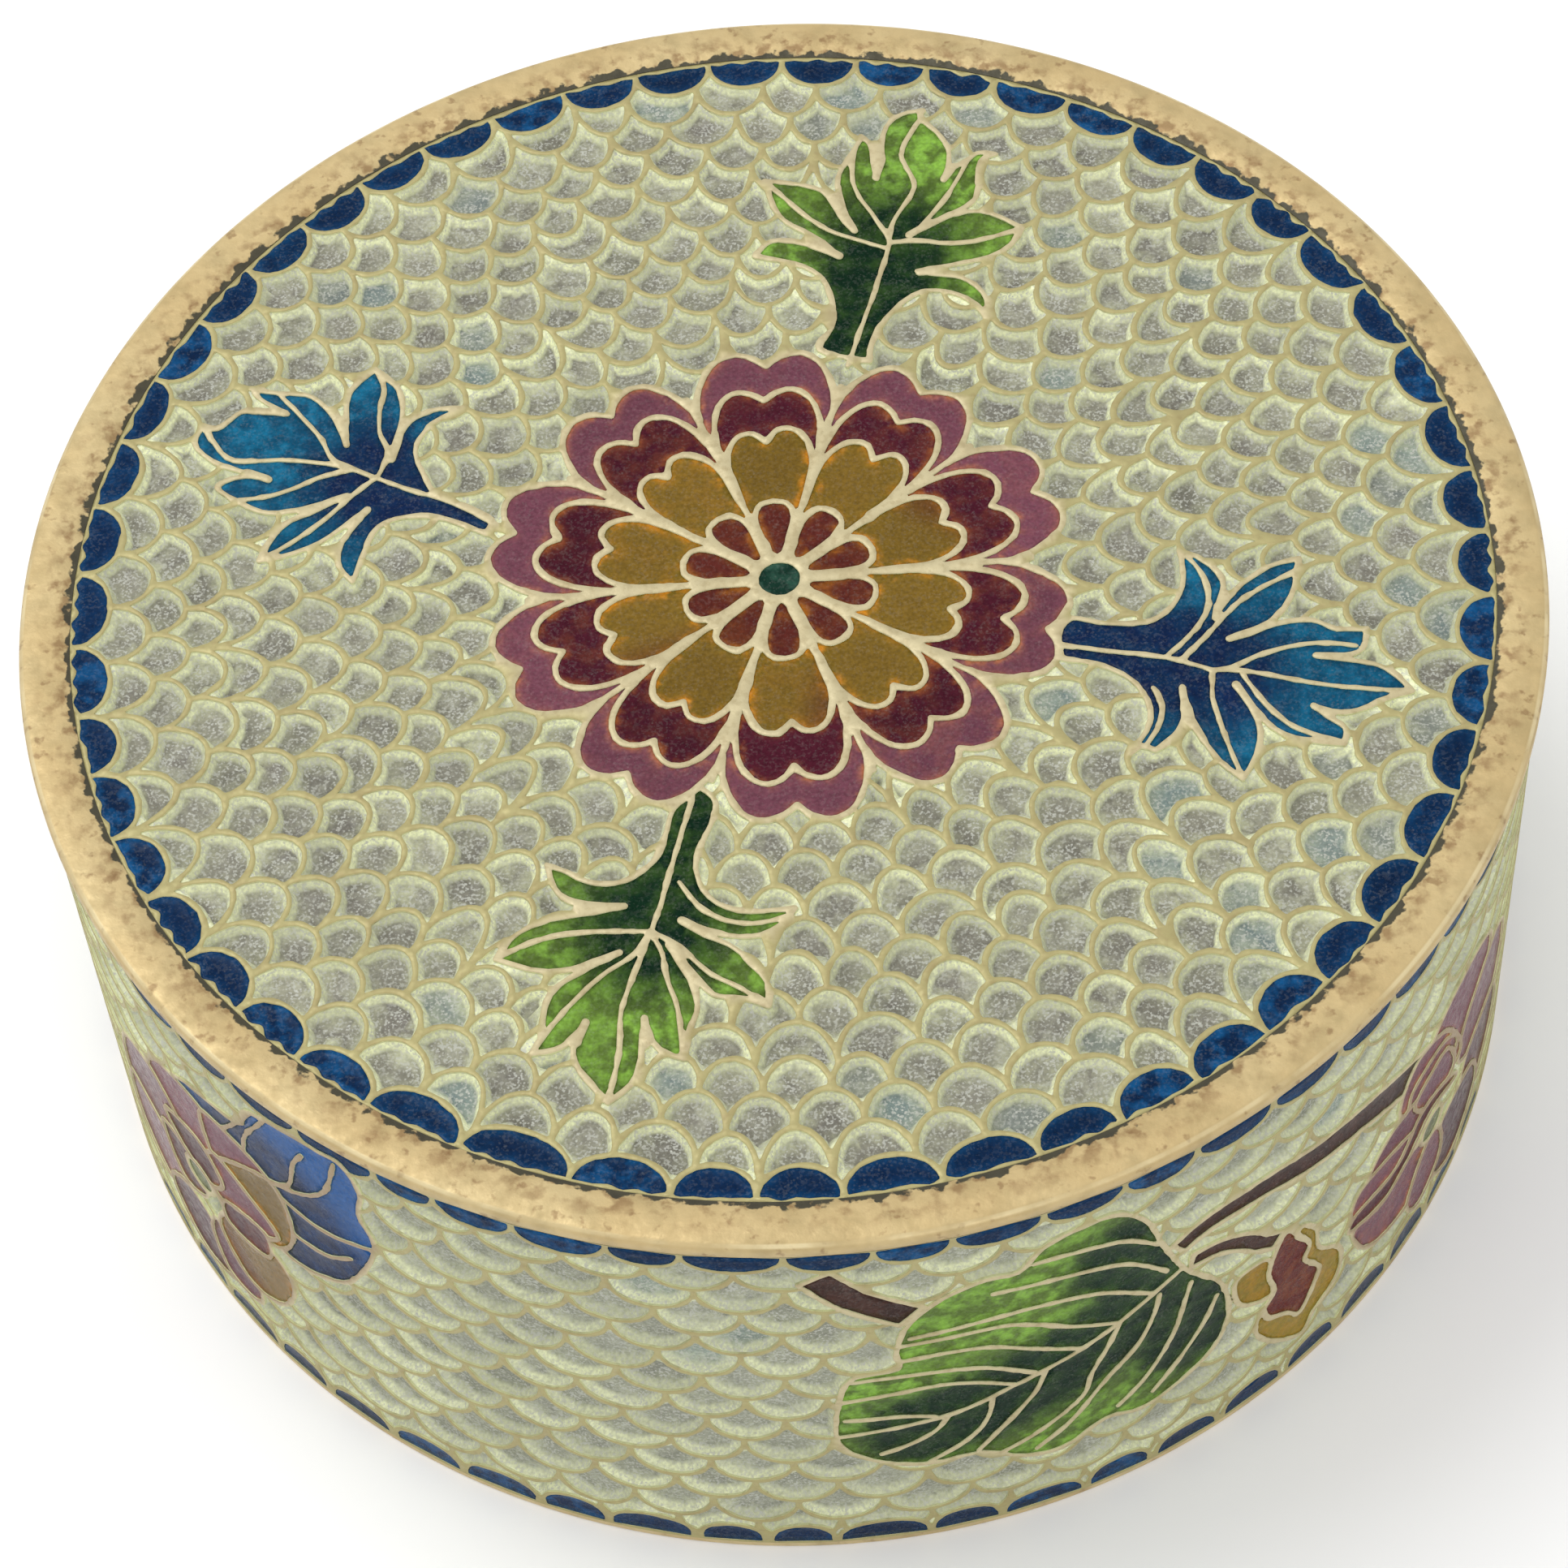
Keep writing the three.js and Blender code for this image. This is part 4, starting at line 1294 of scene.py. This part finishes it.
def draw_wall_flower(sheet, petals, heart):
    for name, outline in petals:
        draw_over(sheet, ring(outline, 5), name)
    x, y, radius = heart
    draw_over(sheet, circle(radius, 16) + [x, y], "heart")


def on_wall(arcs):
    return [np.column_stack([arc[:, 0] * WALL_LENGTH, arc[:, 1]]) for arc in arcs]


def wall_sheet():
    low = -WALL_LENGTH / 2
    sheet = Sheet((low, 0), (-low, WALL_TOP + 0.3), wraps=True)
    count = WALL_SCALES
    ends = (np.arange(count) + rng.normal(0, TOP_END_WANDER, count)) / count
    scallops = arc_row(ends, lambda turn: WALL_TOP, TOP_SCALLOP_BELLY, TOP_SCALLOP_WANDER,
                       TOP_SCALLOP_FULLNESS)
    arcs = scallops
    belly = TOP_SCALLOP_BELLY + FIRST_ROW_RISE
    for _ in range(WALL_ROWS):
        belly -= WALL_SCALE_PITCH
        ends = next_ends(arcs, count, WALL_SHIFT_WANDER)
        arcs = arc_row(ends, level_line(arcs), belly, WALL_BELLY_WANDER)
        for line in on_wall(arcs):
            sheet.wire(line, WALL_GROUND_WIRE)
    ends = (np.arange(count) + 0.5 + rng.normal(0, FOOT_END_WANDER, count)) / count
    foot = arc_row(ends, lambda turn: WALL_BOTTOM, FOOT_SCALLOP_CREST, WALL_BELLY_WANDER,
                   FOOT_SCALLOP_FULLNESS)
    for line in on_wall(foot):
        middle = line[ARC_POINTS // 2, 0]
        line[:, 0] = middle + (line[:, 0] - middle) * rng.uniform(*FOOT_SCALLOP_WIDTHS)
        sheet.clear(line)
        sheet.paint(line, "scallop")
        sheet.wire(line, WALL_GROUND_WIRE)
    for line in on_wall(scallops):
        sheet.paint(line, "scallop")
        sheet.wire(line, WALL_GROUND_WIRE)
    draw_spray(sheet, 0)
    draw_spray(sheet, BACK_SHIFT)
    draw_shape(sheet, ring(LEFT_BLUE, 4), "wall_blue")
    draw_veins(sheet, LEFT_BLUE_VEINS)
    draw_wall_flower(sheet, LEFT_FLOWER, LEFT_HEART)
    draw_wall_flower(sheet, RIGHT_FLOWER, RIGHT_HEART)
    y = sheet.low[1] + np.arange(sheet.ny) * sheet.step[1]
    sheet.finish(np.minimum(y - WALL_BOTTOM - 0.1, WALL_TOP - 0.1 - y)[:, None])
    return sheet


# Colours of the cells

BLUE_SPOTS = [(-40.5, 20), (-39, 16.5)]


def blue_share(points):
    """How far a point lies out in the wall's blue petal."""
    gap = np.min([np.linalg.norm(points - np.array(spot), axis=1) for spot in BLUE_SPOTS], axis=0)
    return smooth(gap, 4.2, 7.5)


def with_alpha(colours, alpha, count):
    """A row of colour and alpha for each of a number of points."""
    return np.column_stack([np.broadcast_to(colours, (count, 3)), np.broadcast_to(alpha, count)])


def lid_leaf_share(points):
    """How far a point lies out in its leaf: 0 at the stem and fork, 1 at the tips."""
    best = np.zeros(len(points))
    nearest = np.full(len(points), 1e9)
    for leaf in LEAVES:
        gap = distance_to_line(points, np.array(leaf["spine"]))
        lobe = smooth(gap, 2.0, 5.6)
        best = np.where(gap < nearest, lobe, best)
        nearest = np.minimum(gap, nearest)
    return best


def wall_leaf_share(points):
    """The same for the wall's leaf, and for its copy at the back."""
    x = points[:, 0]
    x = np.where(np.abs(x) > BACK_SHIFT / 2, x - np.sign(x) * BACK_SHIFT, x)
    points = np.column_stack([x, points[:, 1]])
    gap = np.min([distance_to_line(points, np.array(spine)) for spine in LEAF_SPINES], axis=0)
    return smooth(gap, 2.6, 5.2)


def cell_colours(zone, points, depth, slope, random, base_grey):
    """Tint and glint of the points of one cell."""
    count = len(points)
    near_wire = np.exp(-depth / NEAR_WIRE_REACH)
    shade = 1 + random.normal(0, 0.08)
    amount = 0
    glint = WHITE
    if zone == "ground":
        tint = mixed(base_grey * shade, LID_PALE, 0.2)
    elif zone == "scallop":
        # Painted light: the navy turns cerulean near the wires, where light shines through the thinner
        # enamel
        tint = mixed(NAVY * shade, CERULEAN, 0.2 * near_wire)
        glint = CERULEAN
        amount = random.choice([0, 0, 0.08, 0.4]) + 0.2 * near_wire
    elif zone in ("mauve", "maroon", "gold", "drop"):
        body, light, glint = {
            "mauve": (MAUVE, MAUVE_LIGHT, mixed(MAUVE_LIGHT, ORANGE, 0.45)),
            "maroon": (MAROON, MAROON_LIGHT, mixed(MAROON_LIGHT, ORANGE, 0.4)),
            "gold": (GOLD, HUSK_GOLD, ORANGE),
            "drop": (DROP_RED, DROP_RED, ORANGE),
        }[zone]
        # Painted light: each cell turns lighter near its wires, where light shines through the thinner
        # enamel
        tint = mixed(body * shade, light, 0.35 * near_wire)
        side = polar(1.0, random.uniform(0, 2 * math.pi))
        if zone == "gold" and random.uniform() < 0.35:
            tint = mixed(tint, DROP_RED, 0.6 * smooth((points - points.mean(0)) @ side, 0.2, 2.2))
        bright_side = np.clip(slope @ side, 0, 1)
        amount = np.clip(0.03 + near_wire ** 2 * (0.4 + 0.9 * bright_side) + random.normal(0, 0.05), 0, 1)
        if zone == "drop":
            amount = amount * 0.5
    elif zone in ("green_leaf", "blue_leaf", "wall_leaf"):
        share = wall_leaf_share(points) if zone == "wall_leaf" else lid_leaf_share(points)
        dark, light = (LEAF_NAVY, LEAF_BLUE) if zone == "blue_leaf" else (LEAF_DARK, LEAF_LIME)
        tint = mixed(dark, light, share) * shade
        glint = LEAF_AQUA if zone == "blue_leaf" else LEAF_GLINT
        amount = 0.03 + random.uniform(0.2, 0.75) * share + 0.1 * near_wire
    else:
        body, glint, amount = {
            "bead": (BEAD_GREEN, BEAD_LIGHT, 0.15),
            "branch": (BRANCH_BROWN, BRANCH_LIGHT, 0.3),
            "bud": (BUD_RED, ORANGE, 0.08),
            "husk": (HUSK_GOLD, ORANGE, 0.15),
            "heart": (HEART_OLIVE, WALL_PALE, 0.15),
            "wall_blue": (LEAF_NAVY, SKY_BLUE, 0.2),
        }[zone]
        tint = body * shade
        if zone == "wall_blue":
            tint = mixed(LEAF_NAVY, SKY_BLUE, blue_share(points))
    return with_alpha(tint, 1, count), with_alpha(glint, np.clip(amount, 0, 1), count)


def milk_colours(points, depth, random, grey):
    """Painted light: pale where the layer climbs up the wires, standing in for the lit wire walls seen
    through the thin enamel, and grey in the middle.
    """
    count = len(points)
    pale = LID_PALE if grey is LID_GREY else WALL_PALE
    pale = pale * random.uniform(0.76, 1.1)
    shade = 1 + random.normal(0, 0.1)
    body = mixed(grey, pale, random.uniform(0, 0.1)) * shade
    if grey is LID_GREY:
        far_out = np.linalg.norm(points, axis=1).mean() > 29
        if random.uniform() < 0.02 + 0.2 * far_out:
            body = mixed(body, TEAL, random.uniform(0.1, 0.35))
    elif random.uniform() < 0.06:
        body = mixed(body, TEAL, 0.25)
    # Painted light: the rim of the layer along the wires is painted pale, standing in for the lit wire walls
    # seen through the glass
    tint = mixed(body, pale, 1 - smooth(depth, MILK_RINGS[0] * 1.2, MILK_RINGS[1] * 1.1))
    glint = mixed(pale, WHITE, 0.5)
    return with_alpha(tint, 1, count), with_alpha(glint, random.uniform(0.05, 0.3), count)


# Meshes of glass and wires

# Zones whose cells make one piece together
FAMILIES = {
    "ground": ("ground",),
    "scallops": ("scallop",),
    "flower": ("mauve", "maroon", "gold", "drop", "bead", "heart"),
    "leaves": ("green_leaf", "blue_leaf", "wall_leaf", "wall_blue"),
    "branches": ("branch", "bud", "husk"),
}


def inner_points(sheet, loops, step, clearance):
    """Evenly spread points inside a cell, clear of its wires."""
    outer = loops[0]
    low, high = outer.min(0), outer.max(0)
    row_step = step * math.sqrt(3) / 2
    rows = np.arange(math.floor(low[1] / row_step), math.ceil(high[1] / row_step) + 1)
    columns = np.arange(math.floor(low[0] / step) - 1, math.ceil(high[0] / step) + 1)
    gx, gy = np.meshgrid(columns, rows)
    points = np.stack([(gx + 0.5 * (gy % 2)) * step, gy * row_step], -1).reshape(-1, 2)
    points = points[inside(points, outer)]
    if len(points) == 0:
        return points
    return points[sheet.sample(sheet.field, points) > clearance]


def milk_level(depth):
    return -(MILK_EDGE_DEPTH + (MILK_DEPTH - MILK_EDGE_DEPTH) * smooth(depth, 0, MILK_RINGS[1]))


def milk_layer(builder, sheet, loops, numbers, under, random, grey):
    """The milky layer inside a clear cell."""
    border = np.vstack(loops)
    rings = [sheet.moved_in(border, reach) for reach in MILK_RINGS]
    points = np.vstack([border, *rings, inner_points(sheet, loops, MILK_POINT_STEP, MILK_RINGS[1] + 0.2)])
    faces = triangulated(points, numbers, odd)
    depth = np.maximum(sheet.sample(sheet.field, points), 0)
    depth[:len(border)] = 0
    tint, glint = milk_colours(points, depth, random, grey)
    points[:len(border)] = under
    start = builder.add(np.column_stack([points, milk_level(depth)]), tint, glint)
    builder.face(faces, start, 1)


def glass_cell(builder, cells, i, zone, grey, two_layers, random):
    """One closed body of glass, dished at its top. Clear glass has a milky layer inside."""
    sheet = cells.sheet
    loops = cells.loops(i)
    border = np.vstack(loops)
    rings = [] if two_layers else [sheet.moved_in(border, reach) for reach in COLOUR_RINGS]
    points = np.vstack([border, inner_points(sheet, loops, TOP_POINT_STEP, TOP_POINT_CLEARANCE), *rings])
    numbers = numbered(loops)
    depth = np.maximum(sheet.sample(sheet.field, points), 0)
    depth[:len(border)] = 0
    top_faces = triangulated(points, numbers, odd)
    flat_faces = triangulated(border, numbers, odd)
    spread = points.copy()
    spread[:len(border)] -= sheet.slope(border) * GLASS_UNDER_WIRE
    tint, glint = cell_colours(zone, points, depth, sheet.slope(points), random, grey)
    dish = GLASS_EDGE_DROP + GLASS_DISH * (1 - np.exp(-depth / DISH_REACH))
    top = builder.add(np.column_stack([spread, -dish]), tint, glint)
    under = spread[:len(border)]
    bottom_level = np.full(len(border), -PANEL_THICKNESS + GLASS_EDGE_DROP)
    bottom = builder.add(np.column_stack([under, bottom_level]), tint[:len(border)], glint[:len(border)])
    builder.face(top_faces, top, 0)
    builder.face([face[::-1] for face in flat_faces], bottom, 0)
    for names in numbers:
        a = np.array(names)
        b = np.roll(a, -1)
        builder.face(np.column_stack([top + a, bottom + a, bottom + b, top + b]), 0, 0)
    if two_layers:
        milk_layer(builder, sheet, loops, numbers, under, random, grey)


def glass_pieces(prefix, cells, place, looks, base_grey, slot_name, node):
    """The glass of a sheet, as one piece for each family of zones."""
    builders = {}
    sheet = cells.sheet
    for i in range(len(cells.outers)):
        zone = sheet.zones[int(sheet.zone_at(cells.middle(i)[None])[0])]
        family = [name for name, zones in FAMILIES.items() if zone in zones][0]
        builder = builders.setdefault(family, Builder())
        glass_cell(builder, cells, i, zone, base_grey, family == "ground", rng)
    for family, builder in builders.items():
        materials = looks["ground"] if family == "ground" else [looks["dark"]]
        builder.mesh(f"{prefix}_{family}_glass", place, materials, slot_name, node)


def wire_piece(name, cells, place, outline, materials, slot_name, node, length=0):
    """The wires between the cells, as one body with bevelled tops and with inner faces painted pale, as lit
    through the glass.

    A sheet that wraps has a length. Its cells near the seam are then repeated beyond both ends, and the
    triangles between them join the cells' own points.
    """
    sheet = cells.sheet
    loops = [outline] + [loop for i in range(len(cells.outers)) for loop in cells.loops(i)]
    points = np.vstack(loops)
    numbers = numbered(loops)
    all_points = points
    all_numbers = list(numbers)
    all_owner = np.arange(len(points))
    if length:
        reach = length / 2 + SEAM_MARGIN
        for names in numbers[1:]:
            for shift in (length, -length):
                moved = points[names] + [shift, 0]
                if moved[:, 0].max() > -reach and moved[:, 0].min() < reach:
                    first = len(all_points)
                    all_points = np.vstack([all_points, moved])
                    all_owner = np.append(all_owner, names)
                    all_numbers.append(list(range(first, first + len(names))))
    faces = triangulated(all_points, all_numbers[1:], even)
    builder = Builder()
    slope = sheet.slope(points)
    slope[:len(outline)] = 0
    raised = sheet.sample(sheet.motif, points) < sheet.sample(sheet.ground, points) - 0.02
    stand = np.where(raised, MOTIF_STAND, WIRE_STAND)
    tint = mixed(GROUND_WIRE_TAN, MOTIF_WIRE_CREAM, raised.astype(float))
    if length:
        petals = [sheet.zones.index(zone) for zone in PETAL_ZONES]
        tint = mixed(tint, PETAL_WIRE_TAN, 0.8 * np.isin(sheet.zone_at(points), petals))
    tint = with_alpha(tint, 1, len(points))
    top = builder.add(np.column_stack([points - slope * WIRE_BEVEL, stand]), tint)
    shoulder = builder.add(np.column_stack([points, stand - WIRE_BEVEL]), tint)
    side = builder.add(np.column_stack([points, stand - WIRE_BEVEL]))
    bottom = builder.add(np.column_stack([points, np.full(len(points), -PANEL_THICKNESS)]))
    if length:
        middle = np.array([all_points[face, 0].mean() for face in faces])
        faces = [[int(all_owner[c]) for c in face] for face, m in zip(faces, middle)
                 if -length / 2 <= m < length / 2]
    builder.face(faces, top, 0)
    builder.face([face[::-1] for face in faces], bottom, 0)
    for names in (numbers[1:] if length else numbers):
        a = np.array(names)
        b = np.roll(a, -1)
        if not length and names[0] == 0:
            a, b = b, a
        builder.face(np.column_stack([shoulder + b, shoulder + a, top + a, top + b]), 0, 0)
        # Inner faces in the painted pale colour of wire lit through the glass
        builder.face(np.column_stack([bottom + b, bottom + a, side + a, side + b]), 0, 1)
    return builder.mesh(name, place, materials, slot_name, node)


def on_level(level):
    def place(points):
        return points + [0, 0, level]
    return place


def round_wall(points):
    angle = FRONT_AZIMUTH + points[:, 0] / WALL_RADIUS
    radius = WALL_RADIUS + points[:, 2]
    return np.column_stack([polar(radius, angle), points[:, 1]])


def strip_outline(length, low, high):
    """Border of the wall drawing, a little longer than the wall at both ends."""
    reach = length / 2 + SEAM_MARGIN + 8
    x = np.arange(-reach, reach, 1.0)
    return np.vstack([np.column_stack([x, np.full(len(x), low)]),
                      np.column_stack([x[::-1], np.full(len(x), high)])])


# The camera that the picture was taken with

IMAGE_SIZE = 1932
FOCAL_PIXELS = 6014
AXIS_PIXEL = (979.8, 715.2)
CAMERA_DISTANCE = 243.0
CAMERA_ELEVATION = math.radians(52.72)
CAMERA_ROLL = math.radians(4.454)
SENSOR_WIDTH = 36.0

# Lights, in metres and watts
SKY_STRENGTH = 0.92
LIGHT_SIZE = 0.4
KEY_POWER = 1.9
FRONT_POWER = 0.65


def add_camera():
    data = bpy.data.cameras.new("camera")
    data.sensor_width = SENSOR_WIDTH
    data.lens = FOCAL_PIXELS / IMAGE_SIZE * SENSOR_WIDTH
    data.clip_start = 0.01
    data.clip_end = 10
    camera = bpy.data.objects.new("camera", data)
    bpy.context.scene.collection.objects.link(camera)
    towards = Vector((0, -math.cos(CAMERA_ELEVATION), math.sin(CAMERA_ELEVATION)))
    up = Vector((0, math.sin(CAMERA_ELEVATION), math.cos(CAMERA_ELEVATION)))
    right = Vector((1, 0, 0))
    middle = IMAGE_SIZE / 2
    turn = math.atan((middle - AXIS_PIXEL[0]) / FOCAL_PIXELS)
    tilt = math.atan((middle - AXIS_PIXEL[1]) / FOCAL_PIXELS)
    forward = -towards * math.cos(turn) + right * math.sin(turn)
    right = right * math.cos(turn) + towards * math.sin(turn)
    level_up = up
    up = level_up * math.cos(tilt) + forward * math.sin(tilt)
    forward = forward * math.cos(tilt) - level_up * math.sin(tilt)
    rolled_right = right * math.cos(CAMERA_ROLL) - up * math.sin(CAMERA_ROLL)
    rolled_up = right * math.sin(CAMERA_ROLL) + up * math.cos(CAMERA_ROLL)
    rotation = Matrix((rolled_right, rolled_up, -forward)).transposed().to_4x4()
    place = towards * CAMERA_DISTANCE * MM + Vector((0, 0, TOTAL_HEIGHT * MM))
    camera.matrix_world = Matrix.Translation(place) @ rotation
    bpy.context.scene.camera = camera


def add_area_light(name, place, size, power):
    data = bpy.data.lights.new(name, "AREA")
    data.shape = "DISK"
    data.size = size
    data.energy = power
    light = bpy.data.objects.new(name, data)
    bpy.context.scene.collection.objects.link(light)
    light.location = place
    light.rotation_euler = (-Vector(place)).to_track_quat("-Z", "Y").to_euler()


def add_stage():
    data = bpy.data.meshes.new("floor")
    reach = 3.0
    data.from_pydata([(-reach, -reach, 0), (reach, -reach, 0), (reach, reach, 0), (-reach, reach, 0)], [],
                     [(0, 1, 2, 3)])
    material, _, shader = node_tree("pale floor")
    shader.inputs["Base Color"].default_value = (0.9, 0.9, 0.9, 1)
    shader.inputs["Roughness"].default_value = 0.8
    data.materials.append(material)
    floor = bpy.data.objects.new("floor", data)
    bpy.context.scene.collection.objects.link(floor)
    world = bpy.data.worlds.new("world")
    world.use_nodes = True
    background = world.node_tree.nodes["Background"]
    background.inputs["Color"].default_value = (1, 1, 1, 1)
    background.inputs["Strength"].default_value = SKY_STRENGTH
    bpy.context.scene.world = world
    add_area_light("key", (-0.25, 0.15, 0.6), LIGHT_SIZE, KEY_POWER)
    add_area_light("front", (0.15, -0.55, 0.35), LIGHT_SIZE, FRONT_POWER)
    bpy.context.scene.view_settings.view_transform = "Standard"


# The pieces


def lid_rim():
    """The lid's rim, with the lip that carries the panel and the collar that drops into the mouth."""
    edge = ripple(SEED + 3, 30, 170, 0.07)
    round_radius = OUTER_RADIUS - RIM_ROUNDING
    round_level = TOTAL_HEIGHT - RIM_ROUNDING
    bottom = TOTAL_HEIGHT - LID_RIM_THICKNESS
    lip_top = LID_PANEL_TOP - PANEL_THICKNESS
    profile = [
        (LID_PANEL_RADIUS, RIM_EDGE_TOP),
        (CRUST_RADIUS, CRUST_TOP),
        (FLAT_START_RADIUS, TOTAL_HEIGHT),
        (round_radius, TOTAL_HEIGHT),
    ]
    for step in range(1, 6):
        angle = math.radians(18 * step)
        profile.append((round_radius + RIM_ROUNDING * math.sin(angle),
                        round_level + RIM_ROUNDING * math.cos(angle)))
    profile += [
        (OUTER_RADIUS, bottom + 1.5 * RIM_CHAMFER),
        (OUTER_RADIUS - RIM_CHAMFER, bottom),
        (COLLAR_OUTER_RADIUS, bottom),
        (COLLAR_OUTER_RADIUS, COLLAR_BOTTOM),
        (COLLAR_INNER_RADIUS, COLLAR_BOTTOM),
        (COLLAR_INNER_RADIUS, LIP_BOTTOM),
        (LIP_INNER_RADIUS, LIP_BOTTOM),
        (LIP_INNER_RADIUS, lip_top),
        (LID_WINDOW_RADIUS, lip_top),
        (LID_WINDOW_RADIUS, LID_PANEL_TOP),
    ]
    material = rim_material("rim brass", CRUST_RADIUS)
    turned("lid_rim_brass", profile, material, "brass", "lid_rim", {1: edge, 2: edge})


def plain_rims():
    material = rim_material("side brass", 0)
    inner = WALL_RADIUS - PANEL_THICKNESS
    mouth_top = TOTAL_HEIGHT - LID_RIM_THICKNESS - MOUTH_GAP
    mouth = [(inner, WALL_TOP), (WALL_RADIUS, WALL_TOP), (WALL_RADIUS, mouth_top), (inner, mouth_top)]
    turned("mouth_rim_brass", mouth, material, "brass", "mouth_rim")
    inner = WALL_RADIUS - FOOT_RIM_WIDTH
    foot = [(inner, 0), (WALL_RADIUS - RIM_CHAMFER, 0), (WALL_RADIUS, RIM_CHAMFER),
            (WALL_RADIUS, FOOT_RIM_HEIGHT), (inner, FOOT_RIM_HEIGHT)]
    turned("foot_rim_brass", foot, material, "brass", "foot_rim")


def panels():
    # The wire sides are painted pale, as lit through the glass
    wires = [wire_material("wire tops", metallic=0.25, roughness=0.5),
             wire_material("wire sides painted lit", metallic=0.0, roughness=0.5, colour=PAINTED_LIT_WIRE_SIDE)]
    clear = clear_material("clear enamel", alpha=0.1)
    milky = glass_material("milky enamel", alpha=0.88, bubbles=1, roughness=0.35, shine=0.25)
    coloured = glass_material("coloured enamel", alpha=0.95, bubbles=0.05, roughness=0.22, shine=0.05)
    looks = {"ground": [clear, milky], "dark": coloured}
    lid = Cells(lid_sheet())
    place = on_level(LID_PANEL_TOP)
    glass_pieces("lid", lid, place, looks, LID_GREY, "lid_enamel", "lid_panel")
    wire_piece("lid_wires", lid, place, circle(LID_PANEL_RADIUS), wires, "brass", "lid_panel")
    wall = Cells(wall_sheet())
    glass_pieces("wall", wall, round_wall, looks, WALL_GREY, "wall_enamel", "box_wall")
    outline = strip_outline(WALL_LENGTH, WALL_BOTTOM, WALL_TOP)
    wire_piece("wall_wires", wall, round_wall, outline, wires, "brass", "box_wall", WALL_LENGTH)
    floor = Cells(floor_sheet())
    place = on_level(FLOOR_TOP)
    glass_pieces("floor", floor, place, looks, FLOOR_GREY, "floor_enamel", "floor_panel")
    wire_piece("floor_wires", floor, place, circle(FLOOR_RADIUS), wires, "brass", "floor_panel")


add_camera()
add_stage()
lid_rim()
plain_rims()
panels()
bpy.context.view_layer.update()
